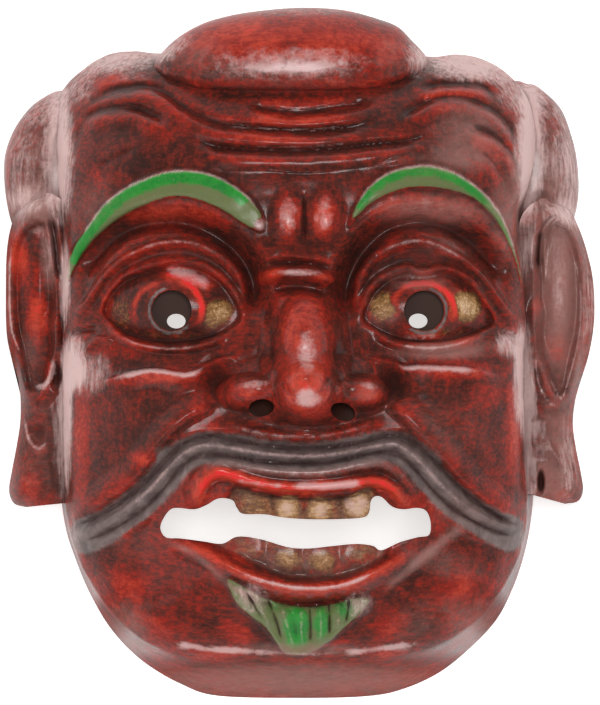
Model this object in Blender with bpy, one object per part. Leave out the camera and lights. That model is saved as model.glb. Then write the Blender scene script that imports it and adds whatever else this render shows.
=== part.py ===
"""A carved and painted wooden dance mask, lying face up on the flat rim of its back.

The mask is one piece of wood. The face, the teeth, the beard, the wen on the crown, the two
lobes of the skull behind the temples and the two hanging ears are cut from the same block,
which is hollowed from behind. +X is the viewer's right, +Y the crown, +Z out of the face.

The carving is drawn on a grid that counts GRID units from crown to jaw, so its places and
heights are shares of the mask's own height. Walls, bores and gaps are real sizes in metres.
"""

import math
from dataclasses import dataclass

import bmesh
import bpy
import numpy as np

HEIGHT = 0.303  # crown of the wen to the rim under the chin
WALL = 0.009  # wood left between the hollow and the deepest furrow of the face
RIM_WIDTH = 0.011  # flat rim of the back, which the mask lies on
EAR_LIFT = 0.013  # the backs of the ears stand this far off the ground
LOBE_LIFT = 0.005  # and those of the two lobes this far
PUPIL_RADIUS = 0.0088  # round pit of each pupil
PUPIL_DEPTH = 0.008  # depth of that pit under the eyeball
SIGHT_RADIUS = 0.0041  # the wearer's sight hole at the bottom of the pit
NOSTRIL_RADIUS = 0.0046
NOSTRIL_DEPTH = 0.007
DRAFT_LENGTH = 1.5  # the sides lean in towards a point this far in front of the rim

GRID = 303.0
UNIT = HEIGHT / GRID
DEEPEST_FURROW = 13.0  # grid units under the dome, which the hollow keeps clear of

FACE_CELLS = 190  # squares along each side of the grid that becomes the face
EAR_CELLS = 44
LOBE_CELLS = 20
HOLLOW_CELLS = 40
RUBBINGS = 3  # passes that even out the marks of the grid
WALL_RINGS = 7
FACE_TRIANGLES = 5600  # of each body once it is thinned
EAR_TRIANGLES = 560
LOBE_TRIANGLES = 200
WEN_TRIANGLES = 360
HOLLOW_TRIANGLES = 460

TOP = 130.0  # above the whole face, where every cutter ends
WEN_CENTRE = (-4, 132)
WEN_LEVEL = 40.0  # of its widest girth
WEN_RISE = 33.0
SIGHT_FOOT = 10.0  # inside the hollow, where the sight holes end

WOOD_COLOUR = (0.150, 0.022, 0.012, 1.0)
WOOD_ROUGHNESS = 0.42

# Outlines, anticlockwise, in grid units from the middle of the face.
FRONT_EDGE = (
    (98.1, 0), (99.2, 14), (97.2, 39), (95, 50), (95.2, 61), (99.4, 71.5), (102.5, 81),
    (104, 92), (103, 104), (99, 114), (92.8, 121.4), (84, 127.5), (71, 131), (57, 130),
    (30, 134), (0, 136), (-30, 134.5), (-60, 131.5), (-73, 132.4), (-84, 130.8), (-94, 125),
    (-104, 115.5), (-108.3, 104), (-108.4, 93), (-106, 80), (-105.6, 68), (-103.6, 50),
    (-104, 20), (-103.6, -20), (-103.3, -55), (-101.3, -76), (-96.8, -91), (-91, -102),
    (-84, -112), (-74, -122.5), (-62, -130), (-48, -134.4), (-20, -135.8), (20, -135.8),
    (44, -133.5), (62, -128.5), (76, -119.5), (86, -108.5), (93, -97.5), (98.6, -84),
    (100.2, -66), (99.2, -43), (98.1, -20),
)
RIM_EDGE = (
    (104, 0), (104.3, 30), (103.5, 55), (104.5, 75), (105, 92), (102.5, 106), (95.5, 115.5),
    (84, 123), (68, 127), (40, 129), (0, 131), (-40, 130), (-72, 128), (-88, 123.5),
    (-99.5, 114.5), (-106.5, 103), (-108.2, 90), (-107.5, 72), (-105.6, 50), (-105.2, 0),
    (-105.2, -40), (-104.6, -64), (-102.3, -79), (-98.3, -91), (-94.4, -101), (-90, -110),
    (-84, -120), (-76, -129.5), (-66, -138), (-52, -146), (-36, -151.2), (0, -152.2),
    (30, -151.4), (46, -148.2), (62, -140.8), (76, -129.5), (87, -117.5), (94, -104),
    (98.5, -91), (101.6, -77), (103.2, -62), (104, -40),
)
MOUTH = (
    (-61, -77.5), (-59.5, -73), (-56.5, -69.3), (-53, -68.6), (-46, -69.2), (-40.5, -67.2),
    (-36.5, -64.8), (-33, -64.3), (-29, -65.4), (-27.3, -68.6), (-24.5, -71.2), (-15, -71.4),
    (-7, -72.8), (5, -73.6), (18, -73.5), (28, -72.8), (30.8, -70.6), (31.6, -65.6),
    (33.6, -63.5), (36.6, -64), (41, -68), (46, -69.2), (52, -68.6), (56, -70), (57.9, -75),
    (57.2, -80.4), (52, -81.5), (44, -83.8), (36.2, -87.2), (32.4, -85.2), (25, -84.4),
    (14, -85.4), (4, -86.4), (-5, -85.8), (-17, -82.3), (-27, -81.2), (-33.8, -84.3),
    (-42, -83.3), (-52, -82), (-58.5, -81.5),
)
LEFT_EAR_OUTER = (
    (-120, -68.2), (-125.4, -66.6), (-127.6, -61), (-126.4, -52.5), (-124.2, -41), (-122.6, -30),
    (-122.7, -18), (-124.4, -9), (-127.2, 0), (-128.8, 10), (-129, 28), (-128.6, 44),
    (-126.8, 55), (-123.5, 63), (-119, 68.4), (-114.5, 70.6),
)
LEFT_EAR_INNER = (
    (-98, -66), (-98, -20), (-98, 30), (-98.5, 56), (-102, 65), (-109, 69.8),
)
RIGHT_EAR_OUTER = (
    (117, -66.8), (122.8, -65.6), (125, -60.5), (123.8, -52), (121.8, -42), (120.5, -32),
    (121.4, -22), (124, -12), (127, -3), (129.2, 8), (130, 19), (129.3, 32), (127, 43),
    (123.8, 53), (120, 61), (115.5, 66), (111.5, 67.8),
)
RIGHT_EAR_INNER = (
    (96, -61), (96, -20), (96, 30), (96.5, 54), (100, 63), (106.5, 67.6),
)
WEN = (
    (56.8, 128.5), (53.6, 133), (49.7, 137), (44, 142.8), (36, 146.2), (20, 150.4), (0, 151.5),
    (-21.6, 149.6), (-34.8, 147), (-43.6, 144), (-52.4, 139), (-59, 133.2), (-64.5, 125.5),
    (-58, 117), (-42, 114), (0, 113.4), (36, 114), (50, 117.5), (56, 123),
)
LEFT_LOBE = (
    (-94, 108), (-104, 115), (-114, 111), (-121, 104.5), (-126.5, 95.5), (-129.6, 85),
    (-129.4, 72), (-126.8, 58), (-122, 48), (-112, 44), (-94, 44),
)
RIGHT_LOBE = (
    (92, 44), (108, 46), (117, 52), (121.3, 60), (123, 72), (122, 86), (119.6, 96),
    (115.5, 106.5), (108.5, 114), (101, 118), (92, 112),
)
LEFT_BROW = (
    (-103, 29), (-101.5, 39), (-98, 47.5), (-92, 56.5), (-85.5, 65), (-77, 71.5), (-68, 76),
    (-59, 79), (-50, 79.8), (-41, 78.5), (-33, 75.5), (-26, 71), (-20.5, 66), (-16.3, 60),
    (-15.5, 54.5), (-19, 53.5), (-25, 57), (-34, 62.8), (-44, 66.8), (-54, 68.4),
    (-64, 66), (-74, 62), (-83, 56), (-91, 48.5), (-97, 40.5),
)
RIGHT_BROW = (
    (22, 55.5), (23.6, 61), (26.4, 66.5), (30.5, 72), (36, 76.8), (42, 79.8), (49, 81.4),
    (56, 82), (63, 80.8), (69, 78.6), (76, 74.2), (82, 69), (86.5, 63.6), (90, 58),
    (93.5, 49), (96.5, 39), (98.5, 27), (96, 38), (92, 48.5), (87, 57.5), (81, 64.5),
    (74, 69.2), (65, 71.6), (56, 72.5), (47, 72), (39, 69.6), (32, 65.8), (26.5, 60.8),
)
LEFT_EYE = (
    (-86, 18), (-83, 25.5), (-77, 31.5), (-69, 35), (-60, 37.3), (-50, 38), (-42, 35.8),
    (-35, 31.5), (-29.5, 25), (-25.5, 15.5), (-31, 9.8), (-40, 6), (-50, 4.2), (-59, 3.8),
    (-68, 5), (-76, 8), (-82, 12.5),
)
RIGHT_EYE = (
    (28, 14.5), (30.5, 23), (35, 29), (41, 33), (48, 35), (54, 33.6), (60, 34.6), (67, 34),
    (74, 30), (80, 23.5), (85.5, 13.5), (78, 9), (69, 5.6), (60, 4.2), (50, 4.4), (41, 6.6),
    (34, 9.8),
)
GOATEE = (
    (-31.5, -100), (-28, -109.5), (-22, -115.5), (-15, -121), (-10.5, -127), (-6.5, -132),
    (0, -133.2), (6, -131.5), (12, -128), (17, -124), (22, -119.3), (27, -115), (30.8, -109),
    (25, -108.2), (16, -110.6), (5, -112), (-5, -111.2), (-15, -108.4), (-23, -104),
)
UPPER_TEETH = (
    (-29, -60), (-18, -62), (-5, -63.5), (10, -64), (22, -63), (32, -59.5), (35, -75),
    (0, -78), (-30, -76),
)
LOWER_TEETH = (
    (-37, -84.5), (-28, -89), (-19, -93.5), (-10, -97.6), (0, -99.6), (12, -99.8),
    (22, -98.6), (31, -94.5), (38, -88.5), (36, -80), (0, -80), (-36, -78),
)


def smooth_path(points, closed=False, steps=6):
    """A Catmull-Rom curve through the points."""
    knots = np.array(points, float)
    if closed:
        knots = np.vstack([knots[-1:], knots, knots[:2]])
    else:
        knots = np.vstack([2 * knots[0] - knots[1], knots, 2 * knots[-1] - knots[-2]])
    share = np.linspace(0, 1, steps, endpoint=False)[:, None]
    spans = [
        0.5 * (2 * b + (c - a) * share + (2 * a - 5 * b + 4 * c - d) * share**2
               + (3 * b - a - 3 * c + d) * share**3)
        for a, b, c, d in zip(knots, knots[1:], knots[2:], knots[3:])
    ]
    return np.vstack(spans + [knots[-2:-1] if not closed else spans[0][:1]])


def measure(path, spots):
    """How far each spot is from the path, above zero on its left, and how far along it."""
    runs = path[1:] - path[:-1]
    lengths = np.hypot(runs[:, 0], runs[:, 1])
    passed = np.concatenate([[0], np.cumsum(lengths)])
    nearest = np.full(len(spots), np.inf)
    offset = np.zeros(len(spots))
    along = np.zeros(len(spots))
    for start, run, length, before in zip(path, runs, lengths, passed):
        gap = spots - start
        share = np.clip(gap @ run / length**2, 0, 1)
        distance = np.hypot(gap[:, 0] - share * run[0], gap[:, 1] - share * run[1])
        closer = distance < nearest
        nearest[closer] = distance[closer]
        side = np.where(run[0] * gap[:, 1] - run[1] * gap[:, 0] >= 0, 1.0, -1.0)
        offset[closer] = (distance * side)[closer]
        along[closer] = (before + share * length)[closer] / passed[-1]
    return offset, along


def depth_inside(path, spots):
    """How deep each spot lies inside a closed path, below zero outside it."""
    inside = np.zeros(len(spots), bool)
    for start, end in zip(path, path[1:]):
        if start[1] == end[1]:
            continue
        spans = (spots[:, 1] < start[1]) != (spots[:, 1] < end[1])
        cross = start[0] + (spots[:, 1] - start[1]) * (end[0] - start[0]) / (end[1] - start[1])
        inside ^= spans & (spots[:, 0] < cross)
    distance = np.abs(measure(path, spots)[0])
    return np.where(inside, distance, -distance)


def ease(share):
    """A soft step from 0 to 1."""
    share = np.clip(share, 0, 1)
    return share * share * (3 - 2 * share)


def within(path, spots, reach):
    """Which spots lie in the path's box, widened by reach."""
    low, high = path.min(axis=0) - reach, path.max(axis=0) + reach
    return ((spots > low) & (spots < high)).all(axis=1)


@dataclass(frozen=True)
class Stroke:
    """A ridge along a path or, with a height below zero, the groove of one gouge pass."""

    points: tuple
    height: float
    left: float  # how far it runs out on the left of its path
    right: float
    fade: float = 0.18  # share of its length over which each end dies away
    keen: float = 0.4  # 0 is a rounded crest, 1 an arris

    def lift(self, spots):
        path = smooth_path(self.points)
        found = np.zeros(len(spots))
        near = within(path, spots, max(self.left, self.right))
        offset, along = measure(path, spots[near])
        share = np.clip(np.where(offset > 0, offset / self.left, -offset / self.right), 0, 1)
        shape = (1 - self.keen) * (1 - share**2) ** 2 + self.keen * (1 - share) ** 2
        ends = ease(along / self.fade) * ease((1 - along) / self.fade)
        found[near] = self.height * shape * ends
        return found


@dataclass(frozen=True)
class Swell:
    """A rounded rise over an ellipse or, with a height below zero, a hollow."""

    centre: tuple
    radii: tuple
    height: float
    turn: float = 0.0  # degrees anticlockwise
    flat: float = 1.0  # above 1 its top is broader and its sides are steeper
    foot: float = 2.0  # 2 runs out smoothly, 1 and below meet the surface in a crease
    corner: float = 2.0  # 2 is an ellipse, above it a rounded rectangle

    def lift(self, spots):
        angle = math.radians(self.turn)
        x, y = (spots - self.centre).T
        across = np.abs(x * math.cos(angle) + y * math.sin(angle)) / self.radii[0]
        up = np.abs(y * math.cos(angle) - x * math.sin(angle)) / self.radii[1]
        share = np.clip(across**self.corner + up**self.corner, 0, 1) ** self.flat
        return self.height * (1 - share) ** self.foot


@dataclass(frozen=True)
class Terrace:
    """An area raised above what surrounds it, or sunk below it, with an edge this wide."""

    outline: tuple
    height: float
    edge: float

    def lift(self, spots):
        path = smooth_path(self.outline, closed=True)
        found = np.zeros(len(spots))
        near = within(path, spots, self.edge)
        depth = depth_inside(path, spots[near])
        found[near] = self.height * ease(depth / self.edge + 0.5)
        return found


def wrinkles():
    """Furrows across the forehead and over both temples."""
    across = (
        ((-24, 109.8), (-17, 107.8), (-8, 106), (1, 105.6), (13, 107.2), (23, 109), (34, 111)),
        ((-96, 105), (-91, 110.5), (-84, 114.4), (-76, 116.3), (-68, 117), (-60, 115),
         (-53, 109.6), (-44, 104), (-34, 100.6), (-20, 99), (0, 97.4), (14, 98), (27, 99.6),
         (36, 102)),
        ((-49, 94.6), (-42, 92), (-33, 89.8), (-18, 89.2), (0, 88.9), (18, 89.8), (30, 91.2),
         (45, 92.6), (62, 95.5)),
        ((-96, 102), (-88, 106.3), (-80, 108), (-72, 107.8), (-65, 104.7), (-57, 101)),
        ((53, 116), (62, 117.6), (72, 118), (80, 117.2), (86, 112)),
        ((42, 103), (53, 108.7), (62, 111.8), (71, 112.2), (80, 109.6), (87, 105), (92, 99),
         (95.6, 91.5), (98.4, 83)),
        ((75, 99.9), (84, 96.6), (90, 91.8), (94, 86), (96, 80), (96.6, 72)),
    )
    faint = (
        ((-90, 80.5), (-81, 85.4), (-70, 90.4)), ((-18, 80), (0, 78.4), (16, 78.8)),
        ((-98, 107), (-102, 99), (-103, 90)), ((-93, 103), (-97.5, 95), (-99, 86)),
        ((30, 82), (44, 86.5), (58, 88)), ((78, 90), (85, 84), (89, 76)),
    )
    deep = [Stroke(points, -4.2, 3.6, 4.6, 0.14, 0.6) for points in across]
    rolls = [
        Stroke(tuple((x, y - 4.6) for x, y in points), 3.0, 4.2, 6.2, 0.2, 0.0)
        for points in across
    ]
    return deep + rolls + [Stroke(points, -1.2, 2.4, 2.8, 0.3, 0.6) for points in faint]


def brows():
    """Green crescents with a crisp upper edge, and the deep furrow under each."""
    left_furrow = ((-97, 26), (-91, 38), (-83, 47.5), (-73, 54), (-61, 56.5), (-49, 56),
                   (-38, 51.5), (-28, 44), (-21.5, 34), (-19.5, 22), (-22, 10))
    right_furrow = ((23, 10), (20.5, 24), (23.5, 36), (30, 46), (39, 53.5), (50, 56.5),
                    (61, 55.5), (71, 51), (80, 43.5), (88, 33), (93, 24))
    return [
        Terrace(LEFT_BROW, 3.0, 2.2),
        Terrace(RIGHT_BROW, 3.0, 2.2),
        Stroke(left_furrow, -10.0, 11.0, 5.2, 0.16, 0.15),
        Stroke(right_furrow, -10.0, 11.0, 5.2, 0.16, 0.15),
    ]


def eyes():
    """Bulging eyeballs behind heavy double lids, and the folds at their outer corners."""
    left_crest = ((-100, 15), (-94, 22), (-87, 32), (-80, 39.3), (-72, 44.2), (-62, 47.8),
                  (-51, 48.6), (-42, 46.4), (-33, 41.4), (-26.5, 34.5), (-23, 25))
    right_crest = ((24, 25), (26.5, 34), (33, 42), (40, 46), (48, 48.6), (56, 48.6),
                   (65, 45.2), (74, 39.6), (82, 32), (89, 22.5), (95, 13.5))
    left_rim = ((-84, 26.5), (-78, 33), (-70, 37), (-60, 39.8), (-50, 40), (-41, 37.6),
                (-33.5, 32.5), (-27.6, 25), (-24.6, 16))
    right_rim = ((27, 16), (29.5, 25), (34, 31), (41, 35.4), (48, 37.2), (54, 35.6),
                 (61, 37), (68, 36.2), (76, 31.6), (82, 24.5))
    left_under = ((-85, 14), (-80, 8), (-72, 3.8), (-60, 1.6), (-50, 1.8), (-40, 3.8), (-30, 8))
    right_under = ((32, 8.5), (41, 4), (50, 2.2), (60, 1.8), (70, 3.6), (78, 7), (86, 12))
    found = []
    for crest in (left_crest, right_crest):
        found.append(Stroke(crest, 4.6, 2.6, 4.4, 0.1, 0.35))
    for rim in (left_rim, right_rim):
        found.append(Stroke(rim, 2.6, 3.0, 2.2, 0.12, 0.2))
    for under in (left_under, right_under):
        found.append(Stroke(under, 3.0, 2.2, 3.0, 0.15, 0.2))
    for outline, middle in ((LEFT_EYE, (-56, 21)), (RIGHT_EYE, (56, 19.5))):
        found.append(Terrace(outline, -4.0, 3.0))
        found.append(Swell(middle, (32, 19), 8.5, 0, 1.3))
        found.append(Swell((middle[0], middle[1] + 3), (47, 37), -4.5, 0, 2.2))
    found += [
        Stroke(((-99, -4), (-94, 1), (-88, 5.8), (-80, 5)), 2.6, 2.4, 4.0, 0.25, 0.5),
        Stroke(((-103, 7), (-95, 9.6), (-86, 10)), -3.0, 3.0, 3.0, 0.3, 0.4),
        Stroke(((86, 10), (94, 7), (100, 2)), -3.0, 3.0, 3.0, 0.3, 0.4),
    ]
    return found


def cheeks():
    """Full cheeks under a sharp pouch line, and the folds from the nose to the jaw."""
    left_pouch = ((-90, -14.5), (-82, -11.8), (-74, -9.6), (-66, -8.2), (-58, -8.8), (-51, -10),
                  (-46, -9), (-41, -6), (-35, -3.4), (-26, -1))
    right_pouch = ((27, -1.6), (35, -3), (42, -5), (47, -7), (54, -6.6), (66, -7.2),
                   (78, -8), (90, -12))
    left_fold = ((-36, -21), (-43, -24.5), (-50, -28.5), (-57, -34), (-64, -42), (-70, -50),
                 (-77, -57), (-86, -63), (-95, -67.5), (-102, -70))
    right_fold = ((38, -20.5), (45, -26), (52, -32.5), (59, -39.5), (66, -47.5), (73, -55),
                  (81, -62.5), (89, -68.5), (98, -73.5))
    return [
        Swell((-66, -33), (40, 33), 4.5),
        Swell((68, -32), (38, 34), 4.5),
        Stroke(left_pouch, 3.6, 2.2, 9.0, 0.16, 0.5),
        Stroke(right_pouch, 3.6, 2.2, 9.0, 0.16, 0.5),
        Stroke(left_fold, 4.0, 5.0, 9.0, 0.14, 0.1),
        Stroke(right_fold, 4.0, 9.0, 5.0, 0.14, 0.1),
        Swell((-36, -12), (11, 13), -5.0),
        Swell((41, -13), (10, 13), -5.0),
    ]


def nose():
    """A long bulb, a round tip, flat wings, and the folds pinched up above them."""
    return [
        Swell((3, -3), (21, 38), 14.0, 0, 1.3, 1.4),
        Swell((2.4, 3), (14, 24), 7.5, 0, 1.2, 1.0),
        Swell((3.8, -18.6), (16, 14), 8.5, 0, 1.5, 0.9),
        Swell((3, -16), (43, 17), 10.0, 0, 1.6),
        Swell((-23.5, -17.4), (13.5, 8.4), 7.0, 5, 1.5, 1.1),
        Swell((28, -17.6), (12, 8.2), 7.0, -5, 1.5, 1.1),
        Stroke(((-19, 32), (-10, 34.6), (0, 35), (10, 33), (19, 30)), 6.5, 3.8, 4.2, 0.2, 0.2),
        Stroke(((-20, 38), (-9, 39.6), (3, 39.2), (18, 36)), -3.0, 2.4, 2.4, 0.2, 0.5),
        Stroke(((-15, 27), (-6, 28.4), (5, 28), (16, 24.6)), -5.0, 3.0, 4.0, 0.2, 0.3),
        Stroke(((-10, 42.6), (0, 41.8), (13, 41)), 1.6, 2.0, 2.4, 0.3, 0.4),
        Swell((-4, 57), (8, 10), 6.0, 0, 1.3),
        Swell((11, 58), (9, 10.5), 6.0, 0, 1.3),
        Stroke(((2.2, 72), (2.4, 60), (2.8, 47)), -3.4, 2.0, 2.0, 0.2, 0.6),
    ]


def moustache():
    """Grey locks that part below the nose and sweep down to the jaw in parallel ridges."""
    outer = ((-102, -77.5), (-93, -74.4), (-84, -69.8), (-75, -63.6), (-67, -57), (-60, -49.5),
             (-53.5, -42.6), (-46, -38.2), (-37, -37), (-27, -39), (-14, -41.4), (0, -42.3),
             (15, -41.8), (28, -39.8), (37, -37.6), (44, -36.8), (51, -40.4), (58, -46.6),
             (65, -54), (72, -61), (80, -67.4), (89, -73.2), (100, -78))
    crest = ((-102, -82), (-91, -78.4), (-80, -72.2), (-71, -65.4), (-63, -57.6), (-56.5, -50),
             (-50, -44.2), (-42, -41.2), (-32, -41.8), (-19, -44), (-7, -45.4), (6, -45.6),
             (20, -44), (32, -41.6), (42, -40.6), (49, -44.4), (55.5, -50.8), (62, -58),
             (69, -64.8), (77, -70.6), (87, -75.6), (100, -80))
    inner = ((-96, -83.6), (-86, -80), (-76, -74.6), (-67, -68), (-60, -61), (-54.5, -54),
             (-48.5, -48.2), (-41, -45.2), (-31, -45.8), (-19, -47.8), (-6, -48.9), (7, -48.8),
             (20, -47.2), (31, -44.8), (40, -43.8), (47, -47.6), (53, -54), (59, -61),
             (66, -67.6), (75, -73.6), (86, -78.8), (98, -82))
    lower = ((-99, -86.4), (-88, -84.6), (-78, -80.4), (-70, -74.8), (-63, -68))
    lower_right = ((62, -70), (70, -77.4), (79, -82.4), (90, -85.2), (98, -86.4))
    lip = ((-50, -66), (-46, -58.4), (-41, -51.6), (-33, -48.6), (-24, -50.2), (-12, -52.4),
           (0, -53.2), (13, -52.6), (25, -50), (35, -48.6), (42, -51.8), (48, -58.4), (54, -66))
    upper = ((-33, -30.6), (-24, -34), (-12, -36.4), (0, -37.2), (12, -36.6), (26, -33.6),
             (37, -30.4))
    return [
        Stroke(outer, -4.6, 3.4, 3.0, 0.06, 0.5),
        Stroke(crest, 3.0, 3.2, 3.2, 0.06, 0.1),
        Stroke(inner, -2.6, 2.2, 2.2, 0.06, 0.6),
        Stroke(lower, 2.0, 2.4, 4.0, 0.25, 0.4),
        Stroke(lower_right, 2.0, 4.0, 2.4, 0.25, 0.4),
        Stroke(lip, 3.4, 4.2, 5.0, 0.1, 0.1),
        Stroke(upper, 2.2, 3.2, 3.0, 0.2, 0.1),
        Swell((0, -52), (70, 34), 5.0, 0, 1.4),
    ]


def mouth():
    """Red lips drawn back from the teeth, which are carved in the same wood."""
    upper_lip = ((-50, -69), (-45, -64), (-41, -57.6), (-35.5, -53.6), (-27, -55), (-14, -58.4),
                 (0, -59.6), (14, -59), (26, -57.6), (34, -57), (41, -60), (46, -65), (52, -68.4))
    lower_lip = ((-58, -82), (-48, -85.4), (-39, -89.4), (-32, -93.8), (-24, -97.6), (-15, -101),
                 (-5, -103.4), (6, -104.2), (16, -103.2), (26, -100.4), (36, -96), (45, -90.6),
                 (54, -84.6))
    found = [
        Swell((0, -99), (58, 26), 5.0, 0, 1.4),
        Stroke(upper_lip, 4.2, 4.6, 3.4, 0.12, 0.1),
        Stroke(lower_lip, 5.4, 5.6, 7.0, 0.12, 0.15),
        Terrace(UPPER_TEETH, -4.0, 3.2),
        Terrace(LOWER_TEETH, -4.4, 3.2),
        Stroke(((-30, -106), (-15, -110), (2, -112), (20, -110.4), (34, -105)),
               -3.0, 3.4, 4.0, 0.25, 0.2),
    ]
    for x, y, wide, tall in ((-19, -68, 8, 8), (-5, -70, 7, 8), (10.5, -70.5, 8, 8),
                             (26, -68, 7, 8.5), (-23, -84.6, 9, 7), (-6.5, -90, 8.5, 8.5),
                             (9.5, -91, 8.5, 8.5), (26, -87.6, 8.5, 7.5)):
        found.append(Swell((x, y), (wide, tall), 4.2, 0, 1.0, 0.9, 3.4))
    return found


def goatee():
    """A short green beard in five pointed locks, and the hard edge of the chin below it."""
    partings = (
        ((-24, -104), (-20, -111), (-15, -119)), ((-14, -108), (-10.5, -117), (-7.5, -127)),
        ((4.6, -111), (5, -119), (5, -128)), ((13, -110), (13.4, -117), (13.6, -125)),
        ((22, -108), (21.6, -114), (20.4, -120)),
    )
    chin = ((-66, -127), (-54, -131), (-38, -133), (-12, -134), (14, -134.2), (38, -132.8),
            (54, -129.6), (68, -123))
    return [
        Terrace(GOATEE, 4.0, 3.0),
        *(Stroke(points, -4.2, 2.2, 2.2, 0.2, 0.5) for points in partings),
        Stroke(chin, 2.2, 5.0, 3.0, 0.25, 0.2),
    ]


def left_ear_carving():
    """The scooped shell, rim folds and lobe of the ear on the viewer's left."""
    shell = ((-113, 56), (-119, 55), (-123, 49), (-125, 39), (-125.4, 24), (-124.6, 11),
             (-122.4, 1), (-120.6, -8), (-118.6, -16), (-114.6, -18.4), (-111, -13),
             (-109.6, -4), (-108.6, 6), (-108.2, 20), (-108.8, 36), (-110, 48))
    return [
        Terrace(shell, -8.0, 4.5),
        Swell((-115, 27), (8, 30), 4.0),
        Stroke(((-108.4, 60), (-107.6, 50), (-106.4, 40), (-105.4, 31)), -8.0, 2.6, 3.0, 0.2, 0.2),
        Stroke(((-110, 69), (-107.4, 59), (-105, 48), (-104, 34)), 3.0, 2.4, 2.4, 0.2, 0.3),
        Swell((-107.6, 11), (5.5, 9), 7.0),
        Swell((-107, -9), (4, 9), -8.0),
        Stroke(((-109.4, -3), (-110.4, -10), (-114, -16.6), (-118.6, -16)), 4.0, 3.0, 3.4, 0.2, 0.3),
        Swell((-114.5, -35), (5, 7), -5.0, 0, 1.6),
        Stroke(((-121, -28), (-119, -38), (-114.5, -43), (-109.6, -40)), 2.0, 2.4, 2.4, 0.25, 0.4),
        Swell((-117, -55), (9, 13), 2.5),
    ]


def right_ear_carving():
    """The same ear on the viewer's right, a little wider in the shell."""
    shell = ((112, 57), (117.6, 53.6), (121.4, 45.6), (123.4, 36), (124, 22), (123.2, 10),
             (121, 0), (119, -10), (117, -17.4), (113.6, -20), (110, -14), (107, -5),
             (105.4, 8), (105, 24), (105.4, 38), (107.6, 50))
    return [
        Terrace(shell, -8.0, 4.5),
        Swell((114.5, 24), (8.5, 32), 4.5),
        Stroke(((107, 54), (105.4, 46), (105, 36)), -5.0, 3.0, 3.0, 0.2, 0.2),
        Stroke(((109.6, 52), (108, 45), (108, 38), (109, 31)), 2.4, 2.0, 2.4, 0.2, 0.5),
        Swell((104.4, 16), (4.5, 9), 6.0),
        Swell((105.4, -9), (3.6, 9), -6.0),
        Stroke(((104, -1), (107.4, -6), (110, -14), (113.6, -19.4), (117.4, -16)),
               4.0, 3.0, 3.4, 0.2, 0.3),
        Stroke(((104, -22), (108, -25.6), (114, -25.8), (120, -22)), -3.0, 2.4, 2.4, 0.25, 0.4),
        Stroke(((111, -37), (114.6, -44), (117, -54)), 2.0, 2.4, 2.4, 0.25, 0.4),
        Swell((106.4, -56), (2.8, 8), -9.0),
    ]


def raised(features, spots):
    """The sum of all the carving at each spot."""
    total = np.zeros(len(spots))
    for feature in features:
        total += feature.lift(spots)
    return total


def dome(spots):
    """The smooth front of the block before the carving."""
    stations = ((-160, 36), (-148, 52), (-136, 65), (-122, 75), (-105, 81), (-85, 85), (-60, 87.5),
                (-30, 89), (0, 89), (30, 87.5), (60, 86), (78, 83.5), (92, 79), (104, 73),
                (114, 65), (122, 56), (129, 45), (135, 34), (142, 18), (150, 0))
    curve = smooth_path(stations, steps=8)
    middle = np.interp(spots[:, 1], curve[:, 0], curve[:, 1])
    side = np.abs(spots[:, 0]) / 104
    return middle - 6 * side**2 - 31 * side**4.5


def face_height(spots, share):
    """The carved front of the face; share is 0 in its middle and 1 at its front edge."""
    features = wrinkles() + brows() + eyes() + cheeks() + nose() + moustache() + mouth() + goatee()
    rounding = 5.0 * np.clip((share - 0.93) / 0.07, 0, 1) ** 2
    return dome(spots) + raised(features, spots) - rounding


def hollow_height(spots, share):
    """The smooth bottom of the hollow, a wall's thickness under the dome."""
    return dome(spots) - DEEPEST_FURROW - WALL / UNIT - 9.0 * share**5


def left_ear_height(spots, share):
    return ear_height(spots, LEFT_EAR_OUTER, left_ear_carving())


def right_ear_height(spots, share):
    return ear_height(spots, RIGHT_EAR_OUTER, right_ear_carving())


def ear_height(spots, outer, features):
    """An ear's front: highest beside the face, rolled over at its outer edge."""
    depth = np.abs(measure(smooth_path(outer), spots)[0])
    roll = 14.0 * np.clip(1 - depth / 8.0, 0, 1) ** 2
    outward = np.abs(spots[:, 0]) - 104
    return 43 - 0.16 * outward + raised(features, spots) - roll


def lobe_height(spots, share):
    """A lobe of the skull, rounded over from the temple to its outer edge."""
    return 12.0 + 24.0 * np.sqrt(np.clip(1 - share**2.6, 0, 1))


def reach_at(outline, centre, angle):
    """How far a closed outline is from the centre at each angle."""
    path = smooth_path(outline, closed=True)[:-1] - centre
    angles = np.arctan2(path[:, 1], path[:, 0]) % math.tau
    order = np.argsort(angles)
    radii = np.hypot(path[:, 0], path[:, 1])
    return np.interp(angle % math.tau, angles[order], radii[order], period=math.tau)


@dataclass(frozen=True)
class RoundPlan:
    """Lays a square grid inside a closed outline, spreading it from a centre."""

    outline: tuple
    inset: float = 0.0
    centre: tuple = (0.0, 0.0)

    def places(self, u, v):
        share = np.maximum(np.abs(u), np.abs(v))
        wide = np.abs(u) >= np.abs(v)
        across = v / np.where(u == 0, 1, u)
        up = u / np.where(v == 0, 1, v)
        angle = math.pi / 4 * np.where(wide, across, 2 - up)
        angle += math.pi * np.where(wide, u < 0, v < 0)
        ray = np.column_stack([np.cos(angle), np.sin(angle)])
        reach = reach_at(self.outline, self.centre, angle) - self.inset
        return self.centre + ray * (share * reach)[:, None]


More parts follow.
